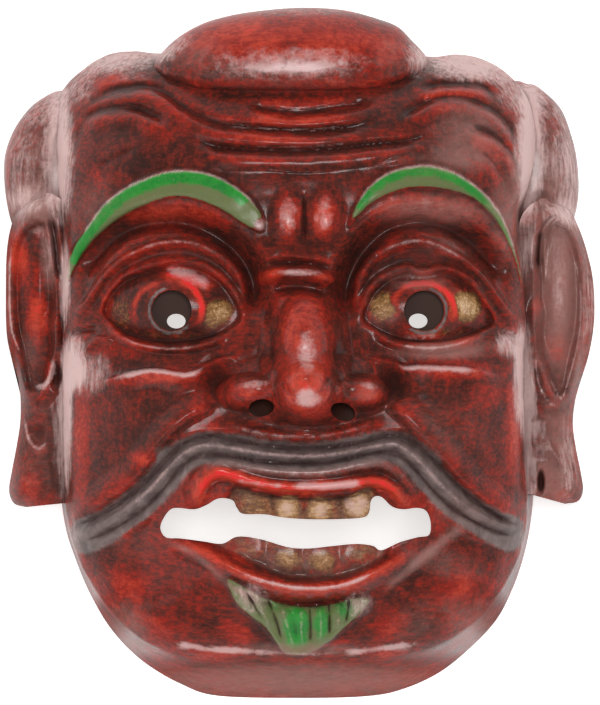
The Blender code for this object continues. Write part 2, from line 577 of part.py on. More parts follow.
@dataclass(frozen=True)
class RuledPlan:
    """Lays a square grid between two paths that run side by side from bottom to top."""

    left: tuple
    right: tuple

    def places(self, u, v):
        ends = [self.spread(path, v) for path in (self.left, self.right)]
        share = (u[:, None] + 1) / 2
        return ends[0] * (1 - share) + ends[1] * share

    @staticmethod
    def spread(points, v):
        path = smooth_path(points)
        passed = np.concatenate([[0], np.cumsum(np.hypot(*(path[1:] - path[:-1]).T))])
        at = (v + 1) / 2 * passed[-1]
        return np.column_stack([np.interp(at, passed, axis) for axis in path.T])


@dataclass(frozen=True)
class Block:
    """A body with a carved front, side walls from its front edge to its foot and a flat back."""

    name: str
    front: object  # plan of the front
    foot: object  # plan of the back, whose border the walls run down to
    height: object  # function of the spots and of their share of the way to the front edge
    cells: int
    triangles: int
    floor: float = 0.0

    def build(self):
        bm = bmesh.new()
        bmesh.ops.create_grid(bm, x_segments=self.cells, y_segments=self.cells, size=1)
        for ring in range(1, WALL_RINGS + 1):
            border = [edge for edge in bm.edges if edge.is_boundary]
            made = bmesh.ops.extrude_edge_only(bm, edges=border)
            for vert in (item for item in made["geom"] if isinstance(item, bmesh.types.BMVert)):
                vert.co.z = ring
        border = [edge for edge in bm.edges if edge.is_boundary]
        bmesh.ops.edgeloop_fill(bm, edges=border)
        bmesh.ops.triangulate(bm, faces=[face for face in bm.faces if len(face.verts) > 4])
        mesh = bpy.data.meshes.new(self.name)
        bm.to_mesh(mesh)
        bm.free()
        self.shape(mesh)
        return thinned(outward(bpy.data.objects.new(self.name, mesh)), self.triangles)

    def shape(self, mesh):
        """Moves the flat grid to its place, the front first and then the rings of the wall."""
        flat = np.empty(len(mesh.vertices) * 3, np.float32)
        mesh.vertices.foreach_get("co", flat)
        u, v, ring = flat.reshape(-1, 3).astype(float).T
        spots = self.front.places(u, v)
        down = (ring / WALL_RINGS)[:, None]
        places = spots * (1 - down) + self.foot.places(u, v) * down
        top = self.height(spots, np.maximum(np.abs(u), np.abs(v)))
        top = rubbed(mesh, top, ring == 0)[:, None]
        level = top * (1 - down) + self.floor * down
        mesh.vertices.foreach_set("co", np.hstack([places, level]).ravel())
        mesh.update()


def rubbed(mesh, level, movable):
    """Evens each height towards the mean of its neighbours, as sanding does."""
    ends = np.empty(len(mesh.edges) * 2, np.int32)
    mesh.edges.foreach_get("vertices", ends)
    first, second = ends.reshape(-1, 2).T
    count = np.bincount(ends, minlength=len(level))
    for _ in range(RUBBINGS):
        around = np.bincount(first, level[second], len(level))
        around += np.bincount(second, level[first], len(level))
        level = np.where(movable, (level + around / count) / 2, level)
    return level


def outward(obj):
    """Turns every face of a closed mesh to look out."""
    bm = bmesh.new()
    bm.from_mesh(obj.data)
    bmesh.ops.recalc_face_normals(bm, faces=bm.faces)
    bm.to_mesh(obj.data)
    bm.free()
    return obj


def thinned(obj, triangles):
    """Leaves the body only so many triangles, most of them where it curves."""
    obj.data.calc_loop_triangles()
    modifier = obj.modifiers.new("thin", "DECIMATE")
    modifier.ratio = triangles / len(obj.data.loop_triangles)
    modifier.use_collapse_triangulate = True
    return obj


def wen():
    """The swelling on the crown: a ball stretched so that its widest girth is the outline."""
    bm = bmesh.new()
    bmesh.ops.create_uvsphere(bm, u_segments=64, v_segments=28, radius=1)
    for vert in bm.verts:
        x, y, z = vert.co
        out = math.hypot(x, y)
        reach = float(reach_at(WEN, WEN_CENTRE, np.array([math.atan2(y, x)]))[0])
        across = reach * out**0.8 / max(out, 1e-6)
        vert.co = (WEN_CENTRE[0] + x * across, WEN_CENTRE[1] + y * across, WEN_LEVEL + WEN_RISE * z)
    mesh = bpy.data.meshes.new("wen")
    bm.to_mesh(mesh)
    bm.free()
    return thinned(outward(bpy.data.objects.new("wen", mesh)), WEN_TRIANGLES)


def mouth_cutter():
    """The open mouth, right through the wood: a flat outline with a thickness."""
    curve = bpy.data.curves.new("mouth_outline", "CURVE")
    curve.dimensions = "2D"
    curve.fill_mode = "BOTH"
    curve.extrude = 60
    path = smooth_path(MOUTH, closed=True, steps=3)[:-1]
    spline = curve.splines.new("POLY")
    spline.points.add(len(path) - 1)
    for point, (x, y) in zip(spline.points, path):
        point.co = (x, y, 0, 1)
    spline.use_cyclic_u = True
    outline = bpy.data.objects.new("mouth_outline", curve)
    bpy.context.scene.collection.objects.link(outline)
    bpy.context.view_layer.update()
    graph = bpy.context.evaluated_depsgraph_get()
    mesh = bpy.data.meshes.new_from_object(outline.evaluated_get(graph))
    bpy.data.objects.remove(outline)
    bm = bmesh.new()
    bm.from_mesh(mesh)
    bmesh.ops.remove_doubles(bm, verts=bm.verts, dist=1e-4)
    bmesh.ops.translate(bm, verts=bm.verts, vec=(0, 0, 70))
    bm.to_mesh(mesh)
    bm.free()
    return outward(bpy.data.objects.new("mouth_cutter", mesh))


def round_cutter(name, middle, radius, low, high, squash=1.0, turn=0.0):
    """A round or oval bore along Z, between two levels."""
    bm = bmesh.new()
    made = bmesh.ops.create_cone(bm, cap_ends=True, segments=28, radius1=radius, radius2=radius,
                                 depth=high - low)
    angle = math.radians(turn)
    for vert in made["verts"]:
        x, y = vert.co.x, vert.co.y * squash
        vert.co.x = middle[0] + x * math.cos(angle) - y * math.sin(angle)
        vert.co.y = middle[1] + x * math.sin(angle) + y * math.cos(angle)
        vert.co.z += (low + high) / 2
    mesh = bpy.data.meshes.new(name)
    bm.to_mesh(mesh)
    bm.free()
    return outward(bpy.data.objects.new(name, mesh))


def bores():
    """Pupil pits with the sight holes at their bottom, and the nostrils."""
    found = []
    for side, pupil, sight in (("left", (-56, 18.4), (-54, 13.6)),
                               ("right", (55, 18.2), (52.4, 13.7))):
        eyeball = float(face_height(np.array([pupil]), np.zeros(1))[0])
        found.append(round_cutter(f"{side}_pupil", pupil, PUPIL_RADIUS / UNIT,
                                  eyeball - PUPIL_DEPTH / UNIT, TOP))
        found.append(round_cutter(f"{side}_sight", sight, SIGHT_RADIUS / UNIT,
                                  SIGHT_FOOT, TOP, 0.78))
    for side, middle, turn in (("left", (-16.6, -24.6), 8), ("right", (19.4, -26.4), -22)):
        lip = float(face_height(np.array([middle]), np.zeros(1))[0])
        found.append(round_cutter(f"{side}_nostril", middle, NOSTRIL_RADIUS / UNIT * 1.3,
                                  lip - NOSTRIL_DEPTH / UNIT, TOP, 0.68, turn))
    return found


def combine(base, others, operation):
    for other in others:
        modifier = base.modifiers.new(other.name, "BOOLEAN")
        modifier.operation = operation
        modifier.object = other


def baked(obj):
    """The evaluated object as a plain mesh."""
    bpy.context.view_layer.update()
    graph = bpy.context.evaluated_depsgraph_get()
    return bpy.data.meshes.new_from_object(obj.evaluated_get(graph))


def draft_and_place(mesh):
    """Leans the sides in, brings the grid to real size and centres the mask on its own box."""
    flat = np.empty(len(mesh.vertices) * 3, np.float32)
    mesh.vertices.foreach_get("co", flat)
    places = flat.reshape(-1, 3).astype(float) * UNIT
    places[:, :2] *= 1 - places[:, 2:] / DRAFT_LENGTH
    places[:, :2] -= (places[:, :2].min(axis=0) + places[:, :2].max(axis=0)) / 2
    mesh.vertices.foreach_set("co", places.ravel())
    mesh.update()


def painted_wood():
    material = bpy.data.materials.new("painted_wood")
    material.use_nodes = True
    shader = material.node_tree.nodes["Principled BSDF"]
    shader.inputs["Base Color"].default_value = WOOD_COLOUR
    shader.inputs["Roughness"].default_value = WOOD_ROUGHNESS
    shader.inputs["Metallic"].default_value = 0.0
    return material


def main():
    for obj in list(bpy.data.objects):
        bpy.data.objects.remove(obj)
    parts = bpy.data.collections.new("tibetan_cham_mask")
    cutters = bpy.data.collections.new("cutters")
    for collection in (parts, cutters):
        bpy.context.scene.collection.children.link(collection)

    face = Block("face", RoundPlan(FRONT_EDGE), RoundPlan(RIM_EDGE), face_height,
                 FACE_CELLS, FACE_TRIANGLES).build()
    left_lobe = RoundPlan(LEFT_LOBE, centre=(-108, 78))
    right_lobe = RoundPlan(RIGHT_LOBE, centre=(105, 80))
    left_ear = RuledPlan(LEFT_EAR_OUTER, LEFT_EAR_INNER)
    right_ear = RuledPlan(RIGHT_EAR_INNER, RIGHT_EAR_OUTER)
    lobe_floor = LOBE_LIFT / UNIT
    ear_floor = EAR_LIFT / UNIT
    added = [
        wen(),
        Block("left_lobe", left_lobe, left_lobe, lobe_height, LOBE_CELLS, LOBE_TRIANGLES,
              lobe_floor).build(),
        Block("right_lobe", right_lobe, right_lobe, lobe_height, LOBE_CELLS, LOBE_TRIANGLES,
              lobe_floor).build(),
        Block("left_ear", left_ear, left_ear, left_ear_height, EAR_CELLS, EAR_TRIANGLES,
              ear_floor).build(),
        Block("right_ear", right_ear, right_ear, right_ear_height, EAR_CELLS, EAR_TRIANGLES,
              ear_floor).build(),
    ]
    hollow = Block("hollow", RoundPlan(FRONT_EDGE, WALL / UNIT + 2),
                   RoundPlan(RIM_EDGE, RIM_WIDTH / UNIT), hollow_height, HOLLOW_CELLS,
                   HOLLOW_TRIANGLES, -4.0).build()
    removed = [hollow, mouth_cutter(), *bores()]
    for helper in [face, *added, *removed]:
        cutters.objects.link(helper)
        helper.hide_render = True
        helper.display_type = "WIRE"
    combine(face, added, "UNION")
    combine(face, removed, "DIFFERENCE")

    mesh = baked(face)
    mesh.name = "mask"
    draft_and_place(mesh)
    mask = bpy.data.objects.new("mask", mesh)
    parts.objects.link(mask)
    mask.data.materials.clear()
    mask.data.materials.append(painted_wood())
    mask.data.shade_smooth()
    face.modifiers.clear()


if __name__ == "__main__":
    main()
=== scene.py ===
"""A carved and painted wooden dance mask, lying face up on a pale studio floor.

The mask is one piece of wood: the face, the wen on its crown, the lobes of the skull, the ears,
the brows, the moustache, the beard and the teeth are cut in one block, which is hollowed from
behind. Its front is drawn as heights over a plane counted in millimetres from the middle of the
face. +X is the viewer's right, +Y the crown and +Z out of the face. Each part of the face is a
class that gives its carving and the places where its paint is bright, worn, gilded or dark,
with highlights, sheen and shade painted on.
"""

import logging
import math
from collections.abc import Callable, Iterable, Sequence
from dataclasses import dataclass
from enum import Enum
from typing import Protocol, Union

import bmesh
import bpy
import numpy as np
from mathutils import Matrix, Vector


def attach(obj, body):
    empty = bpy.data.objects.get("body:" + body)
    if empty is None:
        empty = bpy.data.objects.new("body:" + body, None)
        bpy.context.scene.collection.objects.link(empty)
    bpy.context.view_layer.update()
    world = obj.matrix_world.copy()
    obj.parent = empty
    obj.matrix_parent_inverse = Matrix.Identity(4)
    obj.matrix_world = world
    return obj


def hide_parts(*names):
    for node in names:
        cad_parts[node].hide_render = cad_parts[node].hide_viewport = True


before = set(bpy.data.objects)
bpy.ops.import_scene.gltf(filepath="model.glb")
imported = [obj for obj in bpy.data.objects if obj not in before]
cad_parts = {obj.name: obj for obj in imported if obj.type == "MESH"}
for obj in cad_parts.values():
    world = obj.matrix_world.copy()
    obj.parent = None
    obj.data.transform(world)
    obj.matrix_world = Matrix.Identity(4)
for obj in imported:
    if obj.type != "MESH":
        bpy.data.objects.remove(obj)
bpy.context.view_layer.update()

LOG = logging.getLogger("dance_mask")

Point = tuple[float, float]
Points = Sequence[Point]
Socket = bpy.types.NodeSocket
Value = Union[float, Socket]
Colour = tuple[float, float, float]

MM = 0.001
NODE = "mask"  # the CAD solid that the mask stands for
BODY = "root"

WALL = 9.0  # wood left between the hollow and the deepest furrow
DEEPEST_FURROW = 13.0
RIM_WIDTH = 11.0
EAR_LIFT = 13.0
LOBE_LIFT = 5.0
DRAFT_LENGTH = 1500.0  # the sides lean in towards a point this far in front of the rim
HOLLOW_FOOT = -4.0  # the hollow's cutter starts this far under the rim
TOP = 130.0  # above the whole face, where every cutter ends
WALL_RINGS = 10
HALF_WIDTH = 104  # of the face
SIDE_FALL = 6  # how far the smooth front falls away evenly towards its sides
CORNER_FALL = 31  # how much further it falls in the last part before them
HOLLOW_FALL = 9.0  # how much thicker the wood is at the edge of the hollow
MOUTH_FOOT = 5.0
MOUTH_RINGS = 26
DOWNWARD = -0.7  # faces whose normal has a lower Z are left bare
CREST_HEIGHT = 0.5  # millimetres over its surroundings, from which a place is all crest
FURROW_DEPTH = 0.6  # the same below them
MOST_TRIANGLES = 190_000
SHARP_ANGLE = 52.0  # degrees, above which an edge is an arris

# Outlines, anticlockwise, in millimetres from the middle of the face.
FRONT_EDGE: Points = (
    (98.1, 0), (99.2, 14), (97.2, 39), (95, 50), (95.2, 61), (99.4, 71.5), (102.5, 81), (104, 92),
    (103, 104), (99, 114), (92.8, 121.4), (84, 127.5), (71, 131), (57, 130), (30, 134), (0, 136),
    (-30, 134.5), (-60, 131.5), (-73, 132.4), (-84, 130.8), (-94, 125), (-104, 115.5),
    (-108.3, 104), (-108.4, 93), (-106, 80), (-105.6, 68), (-103.6, 50), (-104, 20), (-103.6, -20),
    (-103.3, -55), (-101.3, -76), (-96.8, -91), (-91, -102), (-84, -112), (-74, -122.5),
    (-62, -130), (-48, -134.4), (-20, -135.8), (20, -135.8), (44, -133.5), (62, -128.5),
    (76, -119.5), (86, -108.5), (93, -97.5), (98.6, -84), (100.2, -66), (99.2, -43), (98.1, -20))
RIM_EDGE: Points = (
    (104, 0), (104.3, 30), (103.5, 55), (104.5, 75), (105, 92), (102.5, 106), (95.5, 115.5),
    (84, 123), (68, 127), (40, 129), (0, 131), (-40, 130), (-72, 128), (-88, 123.5),
    (-99.5, 114.5), (-106.5, 103), (-108.2, 90), (-107.5, 72), (-105.6, 50), (-105.2, 0),
    (-105.2, -40), (-104.6, -64), (-102.3, -79), (-98.3, -91), (-94.4, -101), (-90, -110),
    (-84, -120), (-76, -129.5), (-66, -138), (-52, -146), (-36, -151.2), (0, -152.2), (30, -151.4),
    (46, -148.2), (62, -140.8), (76, -129.5), (87, -117.5), (94, -104), (98.5, -91), (101.6, -77),
    (103.2, -62), (104, -40))
MOUTH: Points = (
    (-61, -77.5), (-59.5, -73), (-56.5, -69.3), (-53, -68.6), (-46, -69.2), (-40.5, -67.2),
    (-36.5, -64.8), (-33, -64.3), (-29, -65.4), (-27.3, -68.6), (-24.5, -71.2), (-15, -71.4),
    (-7, -72.8), (5, -73.6), (18, -73.5), (28, -72.8), (30.8, -70.6), (31.6, -65.6), (33.6, -63.5),
    (36.6, -64), (41, -68), (46, -69.2), (52, -68.6), (56, -70), (57.9, -75), (57.2, -80.4),
    (52, -81.5), (44, -83.8), (36.2, -87.2), (32.4, -85.2), (25, -84.4), (14, -85.4), (4, -86.4),
    (-5, -85.8), (-17, -82.3), (-27, -81.2), (-33.8, -84.3), (-42, -83.3), (-52, -82),
    (-58.5, -81.5))
LEFT_EAR_OUTER: Points = (
    (-120, -68.2), (-125.4, -66.6), (-127.6, -61), (-126.4, -52.5), (-124.2, -41), (-122.6, -30),
    (-122.7, -18), (-124.4, -9), (-127.2, 0), (-128.8, 10), (-129, 28), (-128.6, 44), (-126.8, 55),
    (-123.5, 63), (-119, 68.4), (-114.5, 70.6))
LEFT_EAR_INNER: Points = ((-98, -66), (-98, -20), (-98, 30), (-98.5, 56), (-102, 65), (-109, 69.8))
RIGHT_EAR_OUTER: Points = (
    (117, -66.8), (122.8, -65.6), (125, -60.5), (123.8, -52), (121.8, -42), (120.5, -32),
    (121.4, -22), (124, -12), (127, -3), (129.2, 8), (130, 19), (129.3, 32), (127, 43),
    (123.8, 53), (120, 61), (115.5, 66), (111.5, 67.8))
RIGHT_EAR_INNER: Points = ((96, -61), (96, -20), (96, 30), (96.5, 54), (100, 63), (106.5, 67.6))
WEN: Points = (
    (56.8, 128.5), (53.6, 133), (49.7, 137), (44, 142.8), (36, 146.2), (20, 150.4), (0, 151.5),
    (-21.6, 149.6), (-34.8, 147), (-43.6, 144), (-52.4, 139), (-59, 133.2), (-64.5, 125.5),
    (-58, 117), (-42, 114), (0, 113.4), (36, 114), (50, 117.5), (56, 123))
LEFT_LOBE: Points = (
    (-94, 108), (-104, 115), (-114, 111), (-121, 104.5), (-126.5, 95.5), (-129.6, 85),
    (-129.4, 72), (-126.8, 58), (-122, 48), (-112, 44), (-94, 44))
RIGHT_LOBE: Points = (
    (92, 44), (108, 46), (117, 52), (121.3, 60), (123, 72), (122, 86), (119.6, 96), (115.5, 106.5),
    (108.5, 114), (101, 118), (92, 112))
LEFT_BROW: Points = (
    (-103, 29), (-101.5, 39), (-98, 47.5), (-92, 56.5), (-85.5, 65), (-77, 71.5), (-68, 76),
    (-59, 79), (-50, 79.8), (-41, 78.5), (-33, 75.5), (-26, 71), (-20.5, 66), (-16.3, 60),
    (-15.5, 54.5), (-19, 53.5), (-25, 57), (-34, 62.8), (-44, 66.8), (-54, 68.4), (-64, 66),
    (-74, 62), (-83, 56), (-91, 48.5), (-97, 40.5))
RIGHT_BROW: Points = (
    (22, 55.5), (23.6, 61), (26.4, 66.5), (30.5, 72), (36, 76.8), (42, 79.8), (49, 81.4), (56, 82),
    (63, 80.8), (69, 78.6), (76, 74.2), (82, 69), (86.5, 63.6), (90, 58), (93.5, 49), (96.5, 39),
    (98.5, 27), (96, 38), (92, 48.5), (87, 57.5), (81, 64.5), (74, 69.2), (65, 71.6), (56, 72.5),
    (47, 72), (39, 69.6), (32, 65.8), (26.5, 60.8))
LEFT_EYE: Points = (
    (-86, 18), (-83, 25.5), (-77, 31.5), (-69, 35), (-60, 37.3), (-50, 38), (-42, 35.8),
    (-35, 31.5), (-29.5, 25), (-25.5, 15.5), (-31, 9.8), (-40, 6), (-50, 4.2), (-59, 3.8),
    (-68, 5), (-76, 8), (-82, 12.5))
RIGHT_EYE: Points = (
    (28, 14.5), (30.5, 23), (35, 29), (41, 33), (48, 35), (54, 33.6), (60, 34.6), (67, 34),
    (74, 30), (80, 23.5), (85.5, 13.5), (78, 9), (69, 5.6), (60, 4.2), (50, 4.4), (41, 6.6),
    (34, 9.8))
GOATEE: Points = (
    (-31.5, -100), (-28, -109.5), (-22, -115.5), (-15, -121), (-10.5, -127), (-6.5, -132),
    (0, -133.2), (6, -131.5), (12, -128), (17, -124), (22, -119.3), (27, -115), (30.8, -109),
    (25, -108.2), (16, -110.6), (5, -112), (-5, -111.2), (-15, -108.4), (-23, -104))
UPPER_TEETH: Points = (
    (-29, -60), (-18, -62), (-5, -63.5), (10, -64), (22, -63), (32, -59.5), (35, -75), (0, -78),
    (-30, -76))
LOWER_TEETH: Points = (
    (-37, -84.5), (-28, -89), (-19, -93.5), (-10, -97.6), (0, -99.6), (12, -99.8), (22, -98.6),
    (31, -94.5), (38, -88.5), (36, -80), (0, -80), (-36, -78))

# The height of the smooth front at each y along its middle.
PROFILE: Points = (
    (-160, 36), (-148, 52), (-136, 65), (-122, 75), (-105, 81), (-85, 85), (-60, 87.5),
    (-30, 89), (0, 89), (30, 87.5), (60, 86), (78, 83.5), (92, 79), (104, 73), (114, 65),
    (122, 56), (129, 45), (135, 34), (142, 18), (150, 0),
)


def smooth_path(points: Points, closed: bool = False, steps: int = 8) -> np.ndarray:
    """A Catmull-Rom curve through the points.

    Args:
        points: the knots, in millimetres.
        closed: whether the curve comes back to its first knot.
        steps: how many short lines stand for each span.

    Returns:
        The curve's corners, one row each.
    """
    knots = np.array(points, float)
    if closed:
        knots = np.vstack([knots[-1:], knots, knots[:2]])
    else:
        knots = np.vstack([2 * knots[0] - knots[1], knots, 2 * knots[-1] - knots[-2]])
    share = np.linspace(0, 1, steps, endpoint=False)[:, None]
    spans = [
        0.5 * (2 * b + (c - a) * share + (2 * a - 5 * b + 4 * c - d) * share**2
               + (3 * b - a - 3 * c + d) * share**3)
        for a, b, c, d in zip(knots, knots[1:], knots[2:], knots[3:])
    ]
    return np.vstack(spans + [knots[-2:-1] if not closed else spans[0][:1]])


def measure(path: np.ndarray, spots: np.ndarray) -> tuple[np.ndarray, np.ndarray]:
    """Measures each spot against a path.

    Args:
        path: the path's corners.
        spots: the places to measure.

    Returns:
        How far each spot is from the path, above zero on its left, and its share of the way along.
    """
    runs = path[1:] - path[:-1]
    lengths = np.hypot(runs[:, 0], runs[:, 1])
    passed = np.concatenate([[0], np.cumsum(lengths)])
    nearest = np.full(len(spots), np.inf)
    offset = np.zeros(len(spots))
    along = np.zeros(len(spots))
    for start, run, length, before in zip(path, runs, lengths, passed):
        gap = spots - start
        share = np.clip(gap @ run / length**2, 0, 1)
        distance = np.hypot(gap[:, 0] - share * run[0], gap[:, 1] - share * run[1])
        closer = distance < nearest
        nearest[closer] = distance[closer]
        side = np.where(run[0] * gap[:, 1] - run[1] * gap[:, 0] >= 0, 1.0, -1.0)
        offset[closer] = (distance * side)[closer]
        along[closer] = (before + share * length)[closer] / passed[-1]
    return offset, along


def depth_inside(path: np.ndarray, spots: np.ndarray) -> np.ndarray:
    """How deep each spot lies inside a closed path, below zero outside it."""
    inside = np.zeros(len(spots), bool)
    for start, end in zip(path, path[1:]):
        if start[1] == end[1]:
            continue
        spans = (spots[:, 1] < start[1]) != (spots[:, 1] < end[1])
        cross = start[0] + (spots[:, 1] - start[1]) * (end[0] - start[0]) / (end[1] - start[1])
        inside ^= spans & (spots[:, 0] < cross)
    distance = np.abs(measure(path, spots)[0])
    return np.where(inside, distance, -distance)


def ease(share: np.ndarray) -> np.ndarray:
    """A soft step from 0 to 1."""
    share = np.clip(share, 0, 1)
    return share * share * (3 - 2 * share)


def within(path: np.ndarray, spots: np.ndarray, reach: float) -> np.ndarray:
    """Which spots lie in the path's box, widened by reach."""
    low, high = path.min(axis=0) - reach, path.max(axis=0) + reach
    return ((spots > low) & (spots < high)).all(axis=1)


class Feature(Protocol):
    """Something that raises the wood, or strengthens a tint, over part of the face."""

    def lift(self, spots: np.ndarray) -> np.ndarray:
        """How much it adds at each spot."""


@dataclass(frozen=True)
class Stroke:
    """A ridge along a path or, with a height below zero, the groove of one gouge pass."""

    points: Points
    height: float
    left: float  # how far it runs out on the left of its path
    right: float
    fade: float = 0.18  # share of its length over which each end dies away
    keen: float = 0.4  # 0 is a rounded crest, 1 an arris

    def lift(self, spots: np.ndarray) -> np.ndarray:
        """How much it adds at each spot."""
        path = smooth_path(self.points)
        found = np.zeros(len(spots))
        near = within(path, spots, max(self.left, self.right))
        offset, along = measure(path, spots[near])
        share = np.clip(np.where(offset > 0, offset / self.left, -offset / self.right), 0, 1)
        shape = (1 - self.keen) * (1 - share**2) ** 2 + self.keen * (1 - share) ** 2
        ends = ease(along / self.fade) * ease((1 - along) / self.fade)
        found[near] = self.height * shape * ends
        return found


@dataclass(frozen=True)
class Swell:
    """A rounded rise over an ellipse or, with a height below zero, a hollow."""

    centre: Point
    radii: Point
    height: float
    turn: float = 0.0  # degrees anticlockwise
    flat: float = 1.0  # above 1 its top is broader and its sides are steeper
    foot: float = 2.0  # 2 runs out smoothly, 1 and below meet the surface in a crease
    corner: float = 2.0  # 2 is an ellipse, above it a rounded rectangle

    def lift(self, spots: np.ndarray) -> np.ndarray:
        """How much it adds at each spot."""
        angle = math.radians(self.turn)
        x, y = (spots - np.array(self.centre)).T
        across = np.abs(x * math.cos(angle) + y * math.sin(angle)) / self.radii[0]
        up = np.abs(y * math.cos(angle) - x * math.sin(angle)) / self.radii[1]
        share = np.clip(across**self.corner + up**self.corner, 0, 1) ** self.flat
        return self.height * (1 - share) ** self.foot


@dataclass(frozen=True)
class Terrace:
    """An area raised above what surrounds it, or sunk below it, with an edge this wide."""

    outline: Points
    height: float
    edge: float

    def lift(self, spots: np.ndarray) -> np.ndarray:
        """How much it adds at each spot."""
        path = smooth_path(self.outline, closed=True)
        found = np.zeros(len(spots))
        near = within(path, spots, self.edge)
        depth = depth_inside(path, spots[near])
        found[near] = self.height * ease(depth / self.edge + 0.5)
        return found


@dataclass(frozen=True)
class Comb:
    """Fine parallel grooves that run along a path, as a comb leaves them in hair."""

    points: Points
    depth: float
    left: float  # how far the grooves spread on the left of the path
    right: float
    pitch: float  # from one groove to the next
    fade: float = 0.1  # share of its length over which each end dies away
    sharpness: float = 0.7  # below 1 the grooves are narrower than what is left between them

    SWAYS = ((0.3, 9.0, 0.0), (0.15, 21.0, 1.0))  # how far, how often and where the grooves waver

    def lift(self, spots: np.ndarray) -> np.ndarray:
        """How much it adds at each spot."""
        path = smooth_path(self.points)
        found = np.zeros(len(spots))
        near = within(path, spots, max(self.left, self.right))
        offset, along = measure(path, spots[near])
        share = np.clip(np.where(offset > 0, offset / self.left, -offset / self.right), 0, 1)
        sway = sum(far * np.sin(along * often + start) for far, often, start in self.SWAYS)
        groove = np.abs(np.sin((offset / self.pitch + sway) * math.pi)) ** self.sharpness
        ends = ease(along / self.fade) * ease((1 - along) / self.fade)
        found[near] = -self.depth * (1 - groove) * (1 - share**4) * ends
        return found


def daubs(*rows: tuple[float, float, float, float, float, float]) -> list[Feature]:
    """Soft-edged touches of a tint.

    Args:
        rows: for each touch its middle x and y, its two radii, its turn in degrees and its
            strength.

    Returns:
        The touches as features.
    """
    return [Swell((x, y), (wide, tall), strength, turn, 1.0, 1.2)
            for x, y, wide, tall, turn, strength in rows]


def streak(points: Points, strength: float, width: float, fade: float = 0.2) -> Stroke:
    """A touch of a tint drawn along a path, with a brush of this width."""
    return Stroke(points, strength, width / 2, width / 2, fade, 0.2)


def total(features: Iterable[Feature], spots: np.ndarray) -> np.ndarray:
    """The sum of all the features at each spot."""
    found = np.zeros(len(spots))
    for feature in features:
        found += feature.lift(spots)
    return found


class Tint(Enum):
    """What a place on the paint can be, as the name of the attribute that holds how much."""

    RED = "tint_red"  # bright red rather than dark maroon
    GRIME_AND_SHADE = "tint_grime_and_shade"  # dark varnish gathered in a furrow, and painted shade in furrows, hollows and creases
    BLOOM = "tint_dust_and_sheen"  # pale, dusty varnish, and painted sheen where the surface turns sideways
    GREEN = "tint_green"  # under green paint
    BRIGHT = "tint_bright"  # fresh green rather than mottled
    GREY = "tint_grey"  # under the moustache's charcoal paint
    GILT = "tint_gilt"  # under old gold
    PALE = "tint_pale"  # rubbed to pinkish white, and painted highlights on crests, lips, bulges and edges
    PIT_AND_SHADE = "tint_pit_and_shade"  # the blackened inside of a bore, with painted shade that deepens further down
    MATT = "tint_matt"  # dull, with no varnish left
    HAZE = "tint_haze"  # a thin greyish bloom on the varnish


class Part:
    """A part of the mask's front: its carving and its tints. Most parts override both."""

    def carving(self) -> list[Feature]:
        """What the part adds to the smooth front, in millimetres."""
        return []

    def tints(self) -> dict[Tint, list[Feature]]:
        """Where each tint lies on the part."""
        return {}


